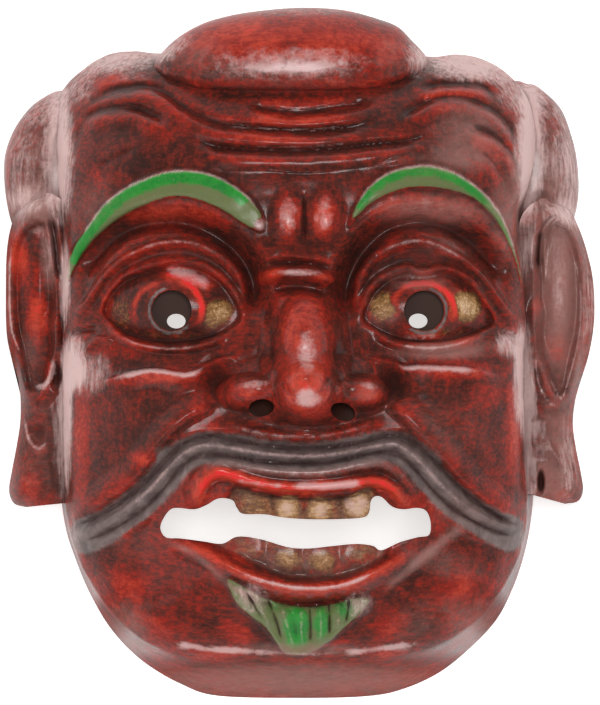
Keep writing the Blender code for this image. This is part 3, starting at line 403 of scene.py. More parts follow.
@dataclass(frozen=True)
class Forehead(Part):
    """Furrows across the forehead and over both temples."""

    furrow_depth: float = 2.5
    roll_height: float = 2.4
    faint_depth: float = 1.0
    # how bright the painted highlights along the crease lines are
    crease_highlight: float = 0.36

    FURROWS = (
        ((-24, 109.8), (-17, 107.8), (-8, 106), (1, 105.6), (13, 107.2), (23, 109), (34, 111)),
        (
            (-96, 105), (-91, 110.5), (-84, 114.4), (-76, 116.3), (-68, 117), (-60, 115),
            (-53, 109.6), (-44, 104), (-34, 100.6), (-20, 99), (0, 97.4), (14, 98), (27, 99.6),
            (36, 102)),
        (
            (-49, 94.6), (-42, 92), (-33, 89.8), (-18, 89.2), (0, 88.9), (18, 89.8), (30, 91.2),
            (45, 92.6), (62, 95.5)),
        ((-96, 102), (-88, 106.3), (-80, 108), (-72, 107.8), (-65, 104.7), (-57, 101)),
        ((53, 116), (62, 117.6), (72, 118), (80, 117.2), (86, 112)),
        (
            (42, 103), (53, 108.7), (62, 111.8), (71, 112.2), (80, 109.6), (87, 105), (92, 99),
            (95.6, 91.5), (98.4, 83)),
        ((75, 99.9), (84, 96.6), (90, 91.8), (94, 86), (96, 80), (96.6, 72)))
    FAINT = (
        ((-90, 80.5), (-81, 85.4), (-70, 90.4)), ((-18, 80), (0, 78.4), (16, 78.8)),
        ((-98, 107), (-102, 99), (-103, 90)), ((-93, 103), (-97.5, 95), (-99, 86)),
        ((30, 82), (44, 86.5), (58, 88)), ((78, 90), (85, 84), (89, 76)))

    def carving(self) -> list[Feature]:
        """Each furrow with the roll of skin below it."""
        deep = [Stroke(path, -self.furrow_depth, 3.0, 3.4, 0.16, 0.45) for path in self.FURROWS]
        rolls = [Stroke(tuple((x, y - 4.6) for x, y in path), self.roll_height, 4.2, 6.2, 0.2, 0.0)
                 for path in self.FURROWS]
        faint = [Stroke(path, -self.faint_depth, 2.0, 2.4, 0.3, 0.7) for path in self.FAINT]
        return deep + rolls + faint

    def tints(self) -> dict[Tint, list[Feature]]:
        """Dark above, grime and painted shade in the furrows, red along the rolls, painted
        highlights on the crease lines, and dust with painted sheen round the edge.
        """
        rolls = [streak(tuple((x, y - 4.2) for x, y in path), 0.14, 6.0) for path in self.FURROWS]
        return {
            Tint.RED: rolls + daubs(
                (0, 112, 105, 26, 0, -0.1), (-80, 97, 22, 11, 20, -0.12),
                (-81, 119.5, 13, 3.6, 8, 0.42), (67, 114, 20, 4, 2, 0.34),
                (78, 94, 10, 6, -30, 0.3), (-8, 102.4, 40, 4.2, 0, 0.36),
                (-16, 94.6, 36, 4.0, 0, 0.2), (0, 109.6, 36, 4.0, 0, 0.3),
                (40, 96, 24, 5, 5, 0.12), (-60, 96, 18, 6, 20, 0.1), (0, 84, 40, 7, 0, -0.12),
                (-80, 84, 20, 10, 0, -0.14), (79, 82, 14, 12, 0, 0.14), (55, 88, 26, 5, 5, -0.1),
                (-62, 84, 20, 5, 12, -0.12)),
            # painted highlights along the crease lines and at the top corners
            Tint.PALE: [
                streak(((-25, 109.6), (0, 107.4), (32, 110)), self.crease_highlight, 1.6),
                streak(((-40, 99.6), (0, 98), (30, 100.4)), self.crease_highlight, 1.5),
                streak(((-34, 91), (0, 90.2), (40, 93.4)), self.crease_highlight * 0.8, 1.5),
                streak(((-18, 80.6), (0, 79.2), (16, 79.6)), self.crease_highlight, 1.3),
                *daubs((-70, 122, 22, 4, 6, 0.2), (72, 121, 20, 4, -6, 0.2))],
            Tint.HAZE: daubs(
                (76, 96, 24, 22, 0, 0.55), (92, 60, 12, 30, 0, 0.5), (60, 84, 30, 8, 0, 0.3),
                (-84, 100, 22, 22, 0, 0.1), (-90, 66, 10, 16, -30, 0.3), (0, 88, 50, 8, 0, 0.12)),
            # dust and painted sheen on the side-facing edges
            Tint.BLOOM: daubs(
                (-106, 88, 8.6, 36, 0, 0.85), (-80, 129, 28, 8, 5, 0.8),
                (102, 90, 8.6, 32, 0, 1.0), (76, 127, 28, 10, -6, 1.0),
                (-99, 118, 12, 12, 0, 0.42), (97, 115, 12, 12, 0, 0.55)),
            # grime and painted shade along the furrows
            Tint.GRIME_AND_SHADE: [streak(path, 0.22, 3.6, 0.14) for path in self.FURROWS],
        }


@dataclass(frozen=True)
class Brows(Part):
    """Green crescents with a crisp upper edge, and the deep furrow under each."""

    height: float = 3.0
    edge: float = 1.5
    furrow_depth: float = 10.0

    LEFT_FURROW = (
        (-97, 26), (-91, 38), (-83, 47.5), (-73, 54), (-61, 56.5), (-49, 56), (-38, 51.5),
        (-28, 44), (-21.5, 34), (-19.5, 22), (-22, 10))
    RIGHT_FURROW = (
        (23, 10), (20.5, 24), (23.5, 36), (30, 46), (39, 53.5), (50, 56.5), (61, 55.5), (71, 51),
        (80, 43.5), (88, 33), (93, 24))

    def carving(self) -> list[Feature]:
        """The two crescents and their furrows."""
        return [
            Terrace(LEFT_BROW, self.height, self.edge),
            Terrace(RIGHT_BROW, self.height, self.edge),
            Stroke(self.LEFT_FURROW, -self.furrow_depth, 11.0, 5.2, 0.16, 0.15),
            Stroke(self.RIGHT_FURROW, -self.furrow_depth, 11.0, 5.2, 0.16, 0.15)]

    def tints(self) -> dict[Tint, list[Feature]]:
        """Fresh green along the top of each brow, mottled below, a painted highlight along each
        upper edge, and a furrow darkened with grime and painted shade.
        """
        tops = (
            (
                (-101, 37), (-97.5, 46), (-91, 55.4), (-84.6, 63.4), (-76, 70), (-67, 74.2),
                (-58, 77), (-49.6, 77.6), (-41, 76.2), (-33, 73.2), (-26, 69), (-21, 64.5)),
            (
                (24.4, 60.5), (27.4, 65.4), (31.4, 70.4), (37, 74.8), (43, 77.6), (50, 79.2),
                (57, 79.6), (63, 78.4), (69, 76.2), (75.4, 72), (81, 67), (86, 61), (90, 54),
                (94, 44)))
        edges = (LEFT_BROW[2:14], RIGHT_BROW[1:16])
        return {
            Tint.GREEN: [
                Terrace(LEFT_BROW, 0.95, 2.0),
                Terrace(RIGHT_BROW, 0.95, 2.0),
                *daubs(
                    (-17, 55.5, 5, 5, 0, -0.8), (23.5, 57, 3.4, 4, 0, -0.5),
                    (-58, 67.5, 28, 3.0, 0, -0.28), (52, 72.5, 26, 2.4, 0, -0.2))],
            Tint.BRIGHT: [streak(tops[0], 1.25, 11.5, 0.05), streak(tops[1], 0.8, 9.5, 0.05)],
            # painted highlights along the brows' upper edges and inner tip
            Tint.PALE: [
                *(streak(path, 0.66, 2.0, 0.1) for path in edges),
                *daubs((-16.5, 56, 4, 4, 0, 0.5))],
            Tint.MATT: daubs(
                (3, 47, 26, 9, 0, 1.3), (-24, 40, 9, 16, 20, 0.7), (27, 40, 9, 16, -20, 0.7)),
            # grime and painted shade under the brows and between them
            Tint.GRIME_AND_SHADE: [
                *daubs((3, 46.5, 22, 5, 0, 0.35)),
                *(streak(path, 0.22, 11.0, 0.12)
                 for path in (self.LEFT_FURROW, self.RIGHT_FURROW))],
            Tint.HAZE: daubs((58, 62, 34, 11, 0, 0.62), (-62, 66, 26, 6, 0, 0.2)),
            Tint.RED: daubs(
                (-54, 60, 32, 8, 0, 0.55), (54, 62, 30, 8, 0, 0.3), (-90, 42, 8, 14, -30, 0.1),
                (88, 42, 8, 14, 30, 0.1)),
        }


@dataclass(frozen=True)
class Eyes(Part):
    """Bulging eyeballs behind heavy double lids, and the folds at their outer corners."""

    lid_height: float = 4.6
    rim_height: float = 2.6
    ball_rise: float = 8.5

    CRESCENTS = (
        ((-70, 8), (-72.4, 16), (-71, 24), (-65, 29.6), (-56, 31.6)),
        ((-56, 31.6), (-48, 29), (-43.4, 23), (-43, 16), (-46, 9.6)),
        ((41, 19), (43.6, 26), (50, 30), (58, 30), (65, 26), (68.6, 19), (67.6, 12)))
    LASH_LINES = (
        ((-84, 21), (-77, 29), (-68, 33.4), (-58, 35.4), (-46, 35), (-36, 29), (-28, 18)),
        ((30, 18), (36, 27), (46, 32), (54, 31.6), (64, 32.4), (74, 28), (82, 18)),
        ((-84, 15), (-74, 8), (-60, 5), (-46, 5.4), (-30, 11)),
        ((32, 10), (42, 6), (56, 5), (70, 6.4), (82, 12)))
    PUPIL_RINGS = tuple(
        tuple((x + 10.0 * math.cos(turn), y + 10.0 * math.sin(turn))
              for turn in np.linspace(start, start + 4.2, 13))
        for x, y, start in ((-56, 18.4, 1.6), (55, 18.2, -2.6)))
    LEFT_CREST = (
        (-100, 15), (-94, 22), (-87, 32), (-80, 39.3), (-72, 44.2), (-62, 47.8), (-51, 48.6),
        (-42, 46.4), (-33, 41.4), (-26.5, 34.5), (-23, 25))
    RIGHT_CREST = (
        (24, 25), (26.5, 34), (33, 42), (40, 46), (48, 48.6), (56, 48.6), (65, 45.2), (74, 39.6),
        (82, 32), (89, 22.5), (95, 13.5))
    LEFT_RIM = (
        (-84, 26.5), (-78, 33), (-70, 37), (-60, 39.8), (-50, 40), (-41, 37.6), (-33.5, 32.5),
        (-27.6, 25), (-24.6, 16))
    RIGHT_RIM = (
        (27, 16), (29.5, 25), (34, 31), (41, 35.4), (48, 37.2), (54, 35.6), (61, 37), (68, 36.2),
        (76, 31.6), (82, 24.5))
    LEFT_UNDER = ((-85, 14), (-80, 8), (-72, 3.8), (-60, 1.6), (-50, 1.8), (-40, 3.8), (-30, 8))
    RIGHT_UNDER = ((32, 8.5), (41, 4), (50, 2.2), (60, 1.8), (70, 3.6), (78, 7), (86, 12))

    def carving(self) -> list[Feature]:
        """Lids, rims, balls and the folds beside them."""
        found: list[Feature] = []
        for crest in (self.LEFT_CREST, self.RIGHT_CREST):
            found.append(Stroke(crest, self.lid_height, 2.4, 4.4, 0.1, 0.45))
        for rim in (self.LEFT_RIM, self.RIGHT_RIM):
            found.append(Stroke(rim, self.rim_height, 2.6, 2.0, 0.12, 0.3))
        for under in (self.LEFT_UNDER, self.RIGHT_UNDER):
            found.append(Stroke(under, 3.0, 2.0, 2.8, 0.15, 0.3))
        for outline, middle in ((LEFT_EYE, (-56, 21)), (RIGHT_EYE, (56, 19.5))):
            found.append(Terrace(outline, -4.0, 2.2))
            found.append(Swell(middle, (32, 19), self.ball_rise, 0, 1.3))
            found.append(Swell((middle[0], middle[1] + 3), (47, 37), -4.5, 0, 2.2))
        found += [
            Stroke(((-99, -4), (-94, 1), (-88, 5.8), (-80, 5)), 2.6, 2.4, 4.0, 0.25, 0.5),
            Stroke(((-103, 7), (-95, 9.6), (-86, 10)), -3.0, 3.0, 3.0, 0.3, 0.4),
            Stroke(((86, 10), (94, 7), (100, 2)), -3.0, 3.0, 3.0, 0.3, 0.4),
        ]
        return found

    def tints(self) -> dict[Tint, list[Feature]]:
        """Gilded balls with a red crescent, red lids and a pink lower rim, painted highlights on
        the lid crests and rims, and grime with painted shade along the lash lines.
        """
        return {
            Tint.GILT: [
                *daubs(
                    (-77, 17, 11, 11, 0, 0.26), (-36, 17, 10, 8, 20, 0.66),
                    (37, 20, 8, 9, 0, 0.62), (73, 20, 9, 9, 25, 0.86), (-56, 8, 22, 4, 0, 0.2),
                    (60, 9, 22, 4, 0, 0.24)),
                *(streak(path, -0.8, 5.0, 0.1) for path in self.CRESCENTS)],
            Tint.RED: [
                streak(((-62, 36), (-50, 34), (-36, 28)), 1.0, 9.0),
                *(streak(path, bright, 3.8, 0.35)
                 for path, bright in zip(self.CRESCENTS, (0.6, 1.3, 1.2))),
                *daubs(
                    (-48, 33, 18, 5, -5, 0.36), (54, 32, 18, 4.4, 0, 0.36),
                    (-60, 44, 30, 5, 0, 0.1), (56, 44, 28, 5, 0, 0.1), (-76, 5, 12, 3, -20, 0.2),
                    (70, 4, 14, 3, 10, 0.3), (38, 20, 9, 8, 0, 0.32), (-36, 17, 9, 7, 0, 0.22),
                    (73, 20, 12, 9, 0, 0.38), (52, 8, 12, 3, 0, 0.3), (-56, 21, 30, 15, 0, -0.1),
                    (56, 20, 28, 14, 0, -0.06), (-84, 20, 4, 8, 0, 0.35),
                    (-79, 14, 8, 8, 0, 0.12))],
            # painted highlights on the lids, lid crests and lower rims
            Tint.PALE: [
                streak(((-60, 35.6), (-50, 34.4), (-38, 28.6)), 0.72, 8.6),
                streak(((45, 7), (54, 6.4), (62, 7.4)), 0.6, 3.4),
                streak(((44, 33), (52, 32.6), (62, 33.4)), 0.45, 2.6),
                streak(self.LEFT_CREST[3:9], 0.34, 2.0),
                streak(self.RIGHT_CREST[2:8], 0.34, 2.0),
                streak(self.LEFT_UNDER[1:6], 0.32, 2.0),
                streak(self.RIGHT_UNDER[1:6], 0.36, 2.2),
                *daubs((-35, 17, 8, 7, 0, 0.16), (74, 20, 7, 9, 0, 0.18))],
            Tint.HAZE: daubs(
                (52, 32, 20, 6, 0, 0.55), (58, 0, 26, 5, 0, 0.5), (64, 46, 20, 8, 0, 0.3),
                (-36, 14, 12, 8, 0, 0.3), (38, 16, 10, 9, 0, 0.35)),
            Tint.GREY: [streak(ring, 1.0, 2.4, 0.1) for ring in self.PUPIL_RINGS],
            # grime and painted shade along the lash lines and under the balls
            Tint.GRIME_AND_SHADE: [
                *(streak(path, 0.34, 3.4, 0.15) for path in self.LASH_LINES),
                *daubs((-57, 10, 13, 7, 0, 0.24), (55, 10, 13, 7, 0, 0.2))],
        }


@dataclass(frozen=True)
class Cheeks(Part):
    """Full cheeks under a sharp pouch line, and the folds from the nose to the jaw."""

    fullness: float = 4.5
    pouch_height: float = 3.6
    fold_height: float = 4.0

    LEFT_POUCH = (
        (-90, -14.5), (-82, -11.8), (-74, -9.6), (-66, -8.2), (-58, -8.8), (-51, -10), (-46, -9),
        (-41, -6), (-35, -3.4), (-26, -1))
    RIGHT_POUCH = (
        (27, -1.6), (35, -3), (42, -5), (47, -7), (54, -6.6), (66, -7.2), (78, -8), (90, -12))
    LEFT_FOLD = (
        (-36, -21), (-43, -24.5), (-50, -28.5), (-57, -34), (-64, -42), (-70, -50), (-77, -57),
        (-86, -63), (-95, -67.5), (-102, -70))
    RIGHT_FOLD = (
        (38, -20.5), (45, -26), (52, -32.5), (59, -39.5), (66, -47.5), (73, -55), (81, -62.5),
        (89, -68.5), (98, -73.5))

    def carving(self) -> list[Feature]:
        """Cheeks, pouch lines and folds."""
        return [
            Swell((-66, -33), (40, 33), self.fullness),
            Swell((68, -32), (38, 34), self.fullness),
            Stroke(self.LEFT_POUCH, self.pouch_height, 1.8, 9.0, 0.16, 0.6),
            Stroke(self.RIGHT_POUCH, self.pouch_height, 1.8, 9.0, 0.16, 0.6),
            Stroke(self.LEFT_FOLD, self.fold_height, 5.0, 9.0, 0.14, 0.1),
            Stroke(self.RIGHT_FOLD, self.fold_height, 9.0, 5.0, 0.14, 0.1),
            Swell((-36, -12), (11, 13), -5.0),
            Swell((41, -13), (10, 13), -5.0)]

    def tints(self) -> dict[Tint, list[Feature]]:
        """Dark cheeks with bright edges, painted highlights along the pouch lines, grime with
        painted shade beside the nose, and dust with painted sheen on the side planes.
        """
        return {
            Tint.RED: daubs(
                (-95.5, -38, 4.6, 34, 0, 0.38), (-70, -47, 7, 4, -30, 0.45),
                (84, -19, 14, 7, 0, 0.26), (94, -34, 4, 26, 0, 0.42), (62, 2, 24, 8, 0, 0.36),
                (-66, -28, 22, 16, 0, -0.12), (62, -30, 24, 18, 0, -0.06),
                (-40, -30, 10, 8, -30, 0.2), (48, -26, 10, 7, 30, 0.2), (-62, -11, 26, 4, 4, 0.42),
                (66, -8, 26, 5, -3, 0.36), (-72, 1, 16, 5, 10, 0.2), (-86, -60, 14, 7, -25, 0.15),
                (88, -58, 10, 10, 30, 0.15), (-58, -8, 10, 4, 0, 0.1)),
            Tint.HAZE: daubs(
                (64, -34, 30, 22, 0, 0.22), (70, 2, 26, 7, 0, 0.5), (-62, -30, 26, 20, 0, 0.12),
                (70, -72, 24, 14, 0, 0.25), (-74, -84, 22, 12, 0, 0.2),
                (62, -92, 30, 10, -20, 0.35)),
            # dust and painted sheen on the side planes
            Tint.BLOOM: daubs(
                (-99, -5, 6.5, 16, 0, 1.15), (-102.6, -30, 3.6, 38, 0, 1.1),
                (-103, 30, 3, 24, 0, 1.0), (-91, -10, 9, 12, -25, 0.45),
                (98.8, -12, 5.4, 30, 0, 1.25), (102, -40, 3.6, 36, 0, 1.1), (93, 4, 8, 8, 20, 0.7),
                (100, 55, 4.6, 28, 0, 0.9)),
            # painted highlights along the pouch lines
            Tint.PALE: [
                streak(self.LEFT_POUCH[1:8], 0.82, 3.8),
                streak(self.RIGHT_POUCH[2:7], 0.78, 3.6),
                *daubs(
                    (-80, -10, 14, 4, 10, 0.18), (76, -8, 14, 4, -6, 0.2), (58, 0, 18, 5, 0, 0.22),
                    (54, 64, 24, 5, 0, 0.14))],
            Tint.MATT: daubs(
                (-36, -10, 13, 15, 0, 1.2), (41, -11, 13, 15, 0, 1.2), (-30, -32, 16, 8, 0, 0.8),
                (33, -32, 16, 8, 0, 0.8)),
            # grime and painted shade in the hollows beside the nose and under the pouches
            Tint.GRIME_AND_SHADE: daubs(
                (-36, -12, 9, 11, 0, 0.4), (41, -13, 9, 11, 0, 0.4), (-58, -20, 24, 6, 0, 0.12),
                (60, -18, 24, 6, 0, 0.1)),
        }


@dataclass(frozen=True)
class Nose(Part):
    """A long bulb, a round tip, flat wings, and the folds pinched up above them."""

    bridge_rise: float = 14.0
    bulb_rise: float = 7.5
    tip_rise: float = 8.5
    base_rise: float = 10.0
    wing_rise: float = 7.0

    def carving(self) -> list[Feature]:
        """Bridge, bulb, tip, wings and folds."""
        return [
            Swell((3, -3), (21, 38), self.bridge_rise, 0, 1.3, 1.4),
            Swell((2.4, 3), (14, 24), self.bulb_rise, 0, 1.2, 1.0),
            Swell((3.8, -18.6), (16, 14), self.tip_rise, 0, 1.5, 0.9),
            Swell((3, -16), (43, 17), self.base_rise, 0, 1.6),
            Swell((-23.5, -17.4), (13.5, 8.4), self.wing_rise, 5, 1.5, 1.1),
            Swell((28, -17.6), (12, 8.2), self.wing_rise, -5, 1.5, 1.1),
            Stroke(((-19, 32), (-10, 34.6), (0, 35), (10, 33), (19, 30)), 6.5, 3.8, 4.2, 0.2, 0.2),
            Stroke(((-20, 38), (-9, 39.6), (3, 39.2), (18, 36)), -2.2, 2.4, 2.4, 0.25, 0.3),
            Stroke(((-15, 27), (-6, 28.4), (5, 28), (16, 24.6)), -4.0, 3.4, 4.4, 0.25, 0.1),
            Stroke(((-10, 42.6), (0, 41.8), (13, 41)), 1.6, 2.0, 2.4, 0.3, 0.4),
            Swell((-5, 58), (9.5, 15), 3.4, 0, 0.9),
            Swell((12, 59), (10, 15), 3.4, 0, 0.9),
            Stroke(((2.2, 72), (2.4, 60), (2.8, 47)), -2.2, 1.6, 1.6, 0.3, 0.4)]

    def tints(self) -> dict[Tint, list[Feature]]:
        """Vermilion along the bulb and the tip with painted highlights on them, and dark beside
        them with grime and painted shade.
        """
        return {
            Tint.RED: daubs(
                (3, 0, 15, 30, 0, 0.42), (4, -20, 13, 9, 0, 0.28), (-13, 33, 9, 4, 10, 0.4),
                (10, 33, 10, 3.4, -8, 0.22), (-22, -17, 10, 5, 5, 0.26), (32, -19, 8, 5, 0, 0.42),
                (-5, 60, 7, 12, 0, 0.5), (11, 60, 7, 12, 0, 0.5), (26, -16, 8, 5, 0, 0.2)),
            Tint.HAZE: daubs(
                (3, 0, 10, 20, 0, 0.25), (30, -17, 10, 6, 0, 0.35), (-22, -15, 10, 6, 0, 0.2)),
            Tint.MATT: daubs(
                (-23, 0, 7, 7, 0, 1.0), (53, -17, 10, 7, 0, 1.0), (-16, 46, 7, 8, 0, 1.2),
                (21, 46, 7, 8, 0, 1.2)),
            # painted highlights on the bulb, tip, wings, bridge fold and frown lobes
            Tint.PALE: daubs(
                (3.5, 0, 5.5, 11, 0, 0.66), (4, -20, 7, 5.2, 0, 0.95), (-19, -14, 8, 2.2, 8, 0.45),
                (0, 35, 12, 2.0, 0, 0.66), (31, -15, 5, 2.2, -10, 0.4), (-5, 60, 5, 10, 0, 0.46),
                (11, 61, 5, 10, 0, 0.44)),
            # grime and painted shade beside the bulb, in the folds, in the cleft and under the
            # wings
            Tint.GRIME_AND_SHADE: [
                streak(((-13, 22), (-12, 8), (-11.5, -6), (-9, -16)), 0.38, 5.0),
                streak(((17.5, 22), (17, 8), (16.5, -6), (14.5, -16)), 0.38, 5.0),
                streak(((-14, 27), (0, 27.6), (16, 24.6)), 0.3, 4.0),
                streak(((-19, 38.6), (0, 39.6), (18, 36.4)), 0.25, 2.8),
                streak(((2.2, 72), (2.4, 60), (2.8, 47)), 0.62, 1.8),
                *daubs((3, 60, 19, 17, 0, -0.34)),
                streak(
                    (
                        (-34, -24), (-24, -27), (-12, -29), (0, -31), (14, -30), (28, -27),
                        (38, -23)), 0.3, 5.0)],
        }


@dataclass(frozen=True)
class Moustache(Part):
    """Grey locks that part below the nose and sweep down to the jaw in parallel ridges."""

    groove_depth: float = 3.8
    crest_height: float = 2.8
    comb_depth: float = 0.5
    comb_pitch: float = 2.7

    OUTER = (
        (-102, -77.5), (-93, -74.4), (-84, -69.8), (-75, -63.6), (-67, -57), (-60, -49.5),
        (-53.5, -42.6), (-46, -38.2), (-37, -37), (-27, -39), (-14, -41.4), (0, -42.3),
        (15, -41.8), (28, -39.8), (37, -37.6), (44, -36.8), (51, -40.4), (58, -46.6), (65, -54),
        (72, -61), (80, -67.4), (89, -73.2), (100, -78))
    CREST = (
        (-102, -82), (-91, -78.4), (-80, -72.2), (-71, -65.4), (-63, -57.6), (-56.5, -50),
        (-50, -44.2), (-42, -41.2), (-32, -41.8), (-19, -44), (-7, -45.4), (6, -45.6), (20, -44),
        (32, -41.6), (42, -40.6), (49, -44.4), (55.5, -50.8), (62, -58), (69, -64.8), (77, -70.6),
        (87, -75.6), (100, -80))
    INNER = (
        (-96, -83.6), (-86, -80), (-76, -74.6), (-67, -68), (-60, -61), (-54.5, -54),
        (-48.5, -48.2), (-41, -45.2), (-31, -45.8), (-19, -47.8), (-6, -48.9), (7, -48.8),
        (20, -47.2), (31, -44.8), (40, -43.8), (47, -47.6), (53, -54), (59, -61), (66, -67.6),
        (75, -73.6), (86, -78.8), (98, -82))
    LOWER = ((-99, -86.4), (-88, -84.6), (-78, -80.4), (-70, -74.8), (-63, -68))
    LOWER_RIGHT = ((62, -70), (70, -77.4), (79, -82.4), (90, -85.2), (98, -86.4))
    LIP = (
        (-50, -66), (-46, -58.4), (-41, -51.6), (-33, -48.6), (-24, -50.2), (-12, -52.4),
        (0, -53.2), (13, -52.6), (25, -50), (35, -48.6), (42, -51.8), (48, -58.4), (54, -66))
    UPPER = (
        (-33, -30.6), (-24, -34), (-12, -36.4), (0, -37.2), (12, -36.6), (26, -33.6), (37, -30.4))

    def carving(self) -> list[Feature]:
        """The locks, the lip under them and the fine hairs."""
        return [
            Stroke(self.OUTER, -self.groove_depth, 3.2, 2.8, 0.06, 0.6),
            Stroke(self.CREST, self.crest_height, 3.2, 3.2, 0.06, 0.1),
            Stroke(self.INNER, -2.6, 2.0, 2.0, 0.06, 0.7),
            Stroke(self.LOWER, 2.0, 2.2, 4.0, 0.25, 0.5),
            Stroke(self.LOWER_RIGHT, 2.0, 4.0, 2.2, 0.25, 0.5),
            Stroke(self.LIP, 3.4, 4.2, 5.0, 0.1, 0.1),
            Stroke(self.UPPER, 2.2, 3.2, 3.0, 0.2, 0.1),
            Swell((0, -52), (70, 34), 5.0, 0, 1.4),
            Comb(self.CREST, self.comb_depth, 5.2, 4.0, self.comb_pitch)]

    def tints(self) -> dict[Tint, list[Feature]]:
        """Charcoal locks between grooves darkened with grime and painted shade, a painted highlight
        along the crest, and a pink ridge with a painted highlight above the lip.
        """
        return {
            Tint.GREY: [
                Stroke(self.CREST, 1.05, 10.5, 13.5, 0.03, 0.0),
                streak(self.INNER, 0.5, 10.0, 0.1),
                *daubs(
                    (-91, -80, 17, 9, 22, 0.8), (91, -80, 17, 9, -22, 0.8),
                    (-60, -44, 14, 5, -45, 0.3), (60, -46, 14, 5, 45, 0.3))],
            # grime and painted shade in the grooves
            Tint.GRIME_AND_SHADE: [
                streak(self.OUTER, 0.2, 3.4, 0.05),
                streak(self.INNER, 0.22, 2.4, 0.05),
                streak(self.UPPER, 0.1, 3.0)],
            # painted highlights along the crest, the lip ridge and the upper ridge
            Tint.PALE: [
                streak(self.CREST[2:20], 0.34, 2.6, 0.1),
                streak(self.LIP[3:10], 0.36, 2.2),
                streak(self.UPPER, 0.2, 3.0)],
            Tint.RED: [streak(self.LIP, 0.06, 6.0), streak(self.UPPER, -0.1, 8.0)],
            Tint.HAZE: [streak(self.LIP, 0.4, 8.0), streak(self.CREST, 0.1, 9.0, 0.02)],
        }


@dataclass(frozen=True)
class Mouth(Part):
    """Red lips drawn back from the teeth, which are carved in the same wood."""

    upper_lip_height: float = 4.2
    lower_lip_height: float = 5.4
    tooth_height: float = 2.2
    lower_tooth_height: float = 1.1

    UPPER_LIP = (
        (-50, -69), (-45, -64), (-41, -57.6), (-35.5, -53.6), (-27, -55), (-14, -58.4), (0, -59.6),
        (14, -59), (26, -57.6), (34, -57), (41, -60), (46, -65), (52, -68.4))
    LOWER_LIP = (
        (-58, -82), (-48, -85.4), (-39, -89.4), (-32, -93.8), (-24, -97.6), (-15, -101),
        (-5, -103.4), (6, -104.2), (16, -103.2), (26, -100.4), (36, -96), (45, -90.6), (54, -84.6))
    TEETH = (
        (-19, -68, 7.6, 8), (-5, -70, 6.4, 8), (10.5, -70.5, 7.6, 8), (26, -68, 6.4, 8.5),
        (-23, -84.6, 8.4, 7), (-6.5, -90, 7.6, 8.5), (9.5, -91, 7.6, 8.5), (26, -87.6, 7.8, 7.5))

    def carving(self) -> list[Feature]:
        """Lips, gums and eight broad teeth."""
        found: list[Feature] = [
            Swell((0, -99), (58, 26), 5.0, 0, 1.4),
            Stroke(self.UPPER_LIP, self.upper_lip_height, 4.4, 3.2, 0.12, 0.1),
            Stroke(self.LOWER_LIP, self.lower_lip_height, 5.4, 7.0, 0.12, 0.2),
            Terrace(UPPER_TEETH, -4.0, 2.6),
            Terrace(LOWER_TEETH, -3.6, 3.4),
            Stroke(((-30, -106), (-15, -110), (2, -112), (20, -110.4), (34, -105)),
                   -3.0, 3.4, 4.0, 0.25, 0.2),
        ]
        for x, y, wide, tall in self.TEETH:
            height = self.tooth_height if y > -80 else self.lower_tooth_height
            found.append(Swell((x, y), (wide, tall), height, 0, 1.2, 1.0, 3.0))
        return found

    def tints(self) -> dict[Tint, list[Feature]]:
        """Bright red lips and old gold teeth with painted highlights, brown gaps between them, and
        grime with painted shade along the teeth and under the lower lip.
        """
        gaps = [streak(((x, y - 8), (x, y + 8)), 0.30, 2.0, 0.1)
                for x, y in ((-12, -69), (2.4, -70), (18.2, -70), (33, -67), (-28, -70))]
        return {
            Tint.GILT: [
                Terrace(UPPER_TEETH, 0.3, 2.6),
                Terrace(LOWER_TEETH, 0.2, 2.6),
                *daubs(
                    (-5, -69, 6, 7, 0, 0.75), (9, -70, 6, 7, 0, 0.7), (26, -68, 7, 7, 0, 0.75),
                    (-19, -68, 8, 7, 0, 0.1), (-5, -91, 7, 5, 0, 0.4), (10, -92, 7, 5, 0, 0.5),
                    (-22, -87, 10, 5, 0, 0.05), (27, -88, 8, 5, 0, 0.15))],
            Tint.HAZE: [
                streak(((-62, -82), (-46, -89), (-30, -103), (-14, -110)), 0.5, 6.0),
                streak(((34, -107), (46, -98), (62, -84), (76, -75)), 0.6, 7.0),
                Terrace(UPPER_TEETH, 0.3, 2.6),
                Terrace(LOWER_TEETH, 0.34, 2.6)],
            Tint.RED: [
                streak(self.UPPER_LIP, 0.76, 9.0, 0.12),
                streak(self.LOWER_LIP, 0.4, 8.0, 0.12),
                *daubs(
                    (12, -59, 14, 4, 0, 0.2), (2.4, -66, 3, 6, 0, 0.5),
                    (17.6, -95, 2.6, 4, 0, 0.5), (0, -99, 26, 4, 0, -0.05),
                    (-24, -88, 14, 7, 10, 0.22), (28, -89, 10, 6, -10, 0.26))],
            # painted highlights on the lips and teeth
            Tint.PALE: [
                streak(((-4, -58.6), (14, -58.8), (29, -57.4)), 1.0, 5.6),
                streak(((-30, -56.4), (-16, -58.4), (-4, -58.6)), 0.42, 3.6),
                *daubs(
                    (-5, -69, 4, 4, 0, 0.42), (10, -70, 4, 4, 0, 0.42), (25, -67, 7, 6, 0, 0.55)),
                streak(((-28, -96.5), (-15, -101), (2, -104), (20, -102.4), (38, -95)), 0.72, 3.0),
                streak(((-44, -66), (-39, -58.6), (-33, -55.4)), 0.3, 2.2)],
            # brown gaps between the teeth, and grime and painted shade along the teeth and under
            # the lower lip
            Tint.GRIME_AND_SHADE: [
                *gaps,
                streak(((-30, -61), (-15, -63.4), (5, -65), (22, -64), (33, -60.6)), 0.35, 2.6),
                streak(((-35, -90), (-18, -97.4), (2, -100.6), (22, -98.8), (36, -92)), 0.3, 2.6),
                streak(
                    ((-30, -107), (-15, -110.6), (2, -112.4), (20, -111), (34, -106)), 0.25, 3.6)],
        }


